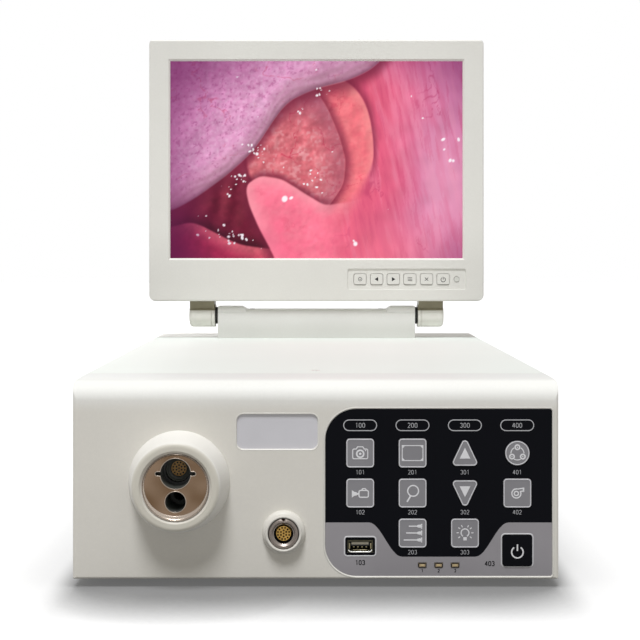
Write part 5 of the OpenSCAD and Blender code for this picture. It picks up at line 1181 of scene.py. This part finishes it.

# Studio: white floor under an even sky with a painted shadow near the part, a broad soft sun from
# above, and a fill before and behind
studio = {
    "floor": 6.0, "world": 0.35, "sun": 2.5, "sunSpread": 18, "lean": (25, -5), "paint": 0.35,
    "lift": 0.72, "shadowReach": 0.065, "shadowPower": 3.6, "darkest": 0.17, "deepest": 0.12,
    "beside": (0.137, 0.157), "besideShare": 0.68, "warm": (1.0, 0.96, 0.87),
    "sunTint": (0.99, 1.0, 1.03), "aim": (0, 0, 0.15), "fillSize": 1.2,
    "fills": {"fill": (0.8, (0.7, -1.7, 0.8)), "back_fill": (9.0, (-0.8, 2.0, 0.35))},
}


def seenRays(wire):
    # 1 for rays that show the background: camera, glossy and transmission
    rays = [wire.add("ShaderNodeLightPath", output=name)
            for name in ("Is Camera Ray", "Is Glossy Ray", "Is Transmission Ray")]
    return wire.maths("MAXIMUM", rays[0], wire.maths("MAXIMUM", rays[1], rays[2]))


def grey(value):
    return (value, value, value, 1)


def floorPaint(place):
    # Painted shadow: darker where the part is near, less so beside the case than before and behind
    # it
    near = place.add("ShaderNodeAmbientOcclusion", {"samples": 16},
                     {"Distance": studio["shadowReach"]}, "AO") ** studio["shadowPower"]
    beside = place.maths("ABSOLUTE", along(place, "X")).above(*studio["beside"])
    shade = 1 - place.maths("MAXIMUM", near, studio["darkest"])
    clear = 1 - shade * (1 - beside * studio["besideShare"])
    return {
        "Emission Color": (seenRays(place) * clear).mix(grey(0), grey(studio["lift"])),
        "Base Color": clear.mix(grey(studio["deepest"]), grey(studio["paint"])),
        "Roughness": 0.75 + noise(place, 0.004, 2) * 0.1,
    }


def makeStudio():
    mesh = bpy.data.meshes.new("floor")
    corners = [(x * studio["floor"], y * studio["floor"], 0)
               for x, y in ((-1, -1), (1, -1), (1, 1), (-1, 1))]
    mesh.from_pydata(corners, [], [(0, 1, 2, 3)])
    mesh.materials.append(makeMaterial("floorPaint", {
        "Emission Strength": 1.0, "Specular IOR Level": 0.1}, floorPaint))
    floor = addObject("floor", mesh)
    world = bpy.data.worlds.new("studio")
    bpy.context.scene.world = world
    world.use_nodes = True
    tree = world.node_tree
    seen = seenRays(Wire(tree))
    background = tree.nodes["Background"]
    tree.links.new(seen.mix((*studio["warm"], 1), grey(1)).socket, background.inputs["Color"])
    strength = studio["world"] + seen * (1 - studio["world"])
    tree.links.new(strength.socket, background.inputs["Strength"])
    sun = bpy.data.lights.new("sun", "SUN")
    sun.energy = studio["sun"]
    sun.angle = math.radians(studio["sunSpread"])
    sun.color = studio["sunTint"]
    addObject("sun", sun).rotation_euler = [math.radians(v) for v in (*studio["lean"], 0)]
    for name, (energy, place) in studio["fills"].items():
        fill = bpy.data.lights.new(name, "AREA")
        fill.shape = "DISK"
        fill.size = studio["fillSize"]
        fill.energy = energy
        lamp = addObject(name, fill)
        lamp.location = place
        aim = Vector(studio["aim"]) - lamp.location
        lamp.rotation_euler = aim.to_track_quat("-Z", "Y").to_euler()


makeStudio()
bpy.context.scene.view_settings.view_transform = "Standard"
print("stage: studio")
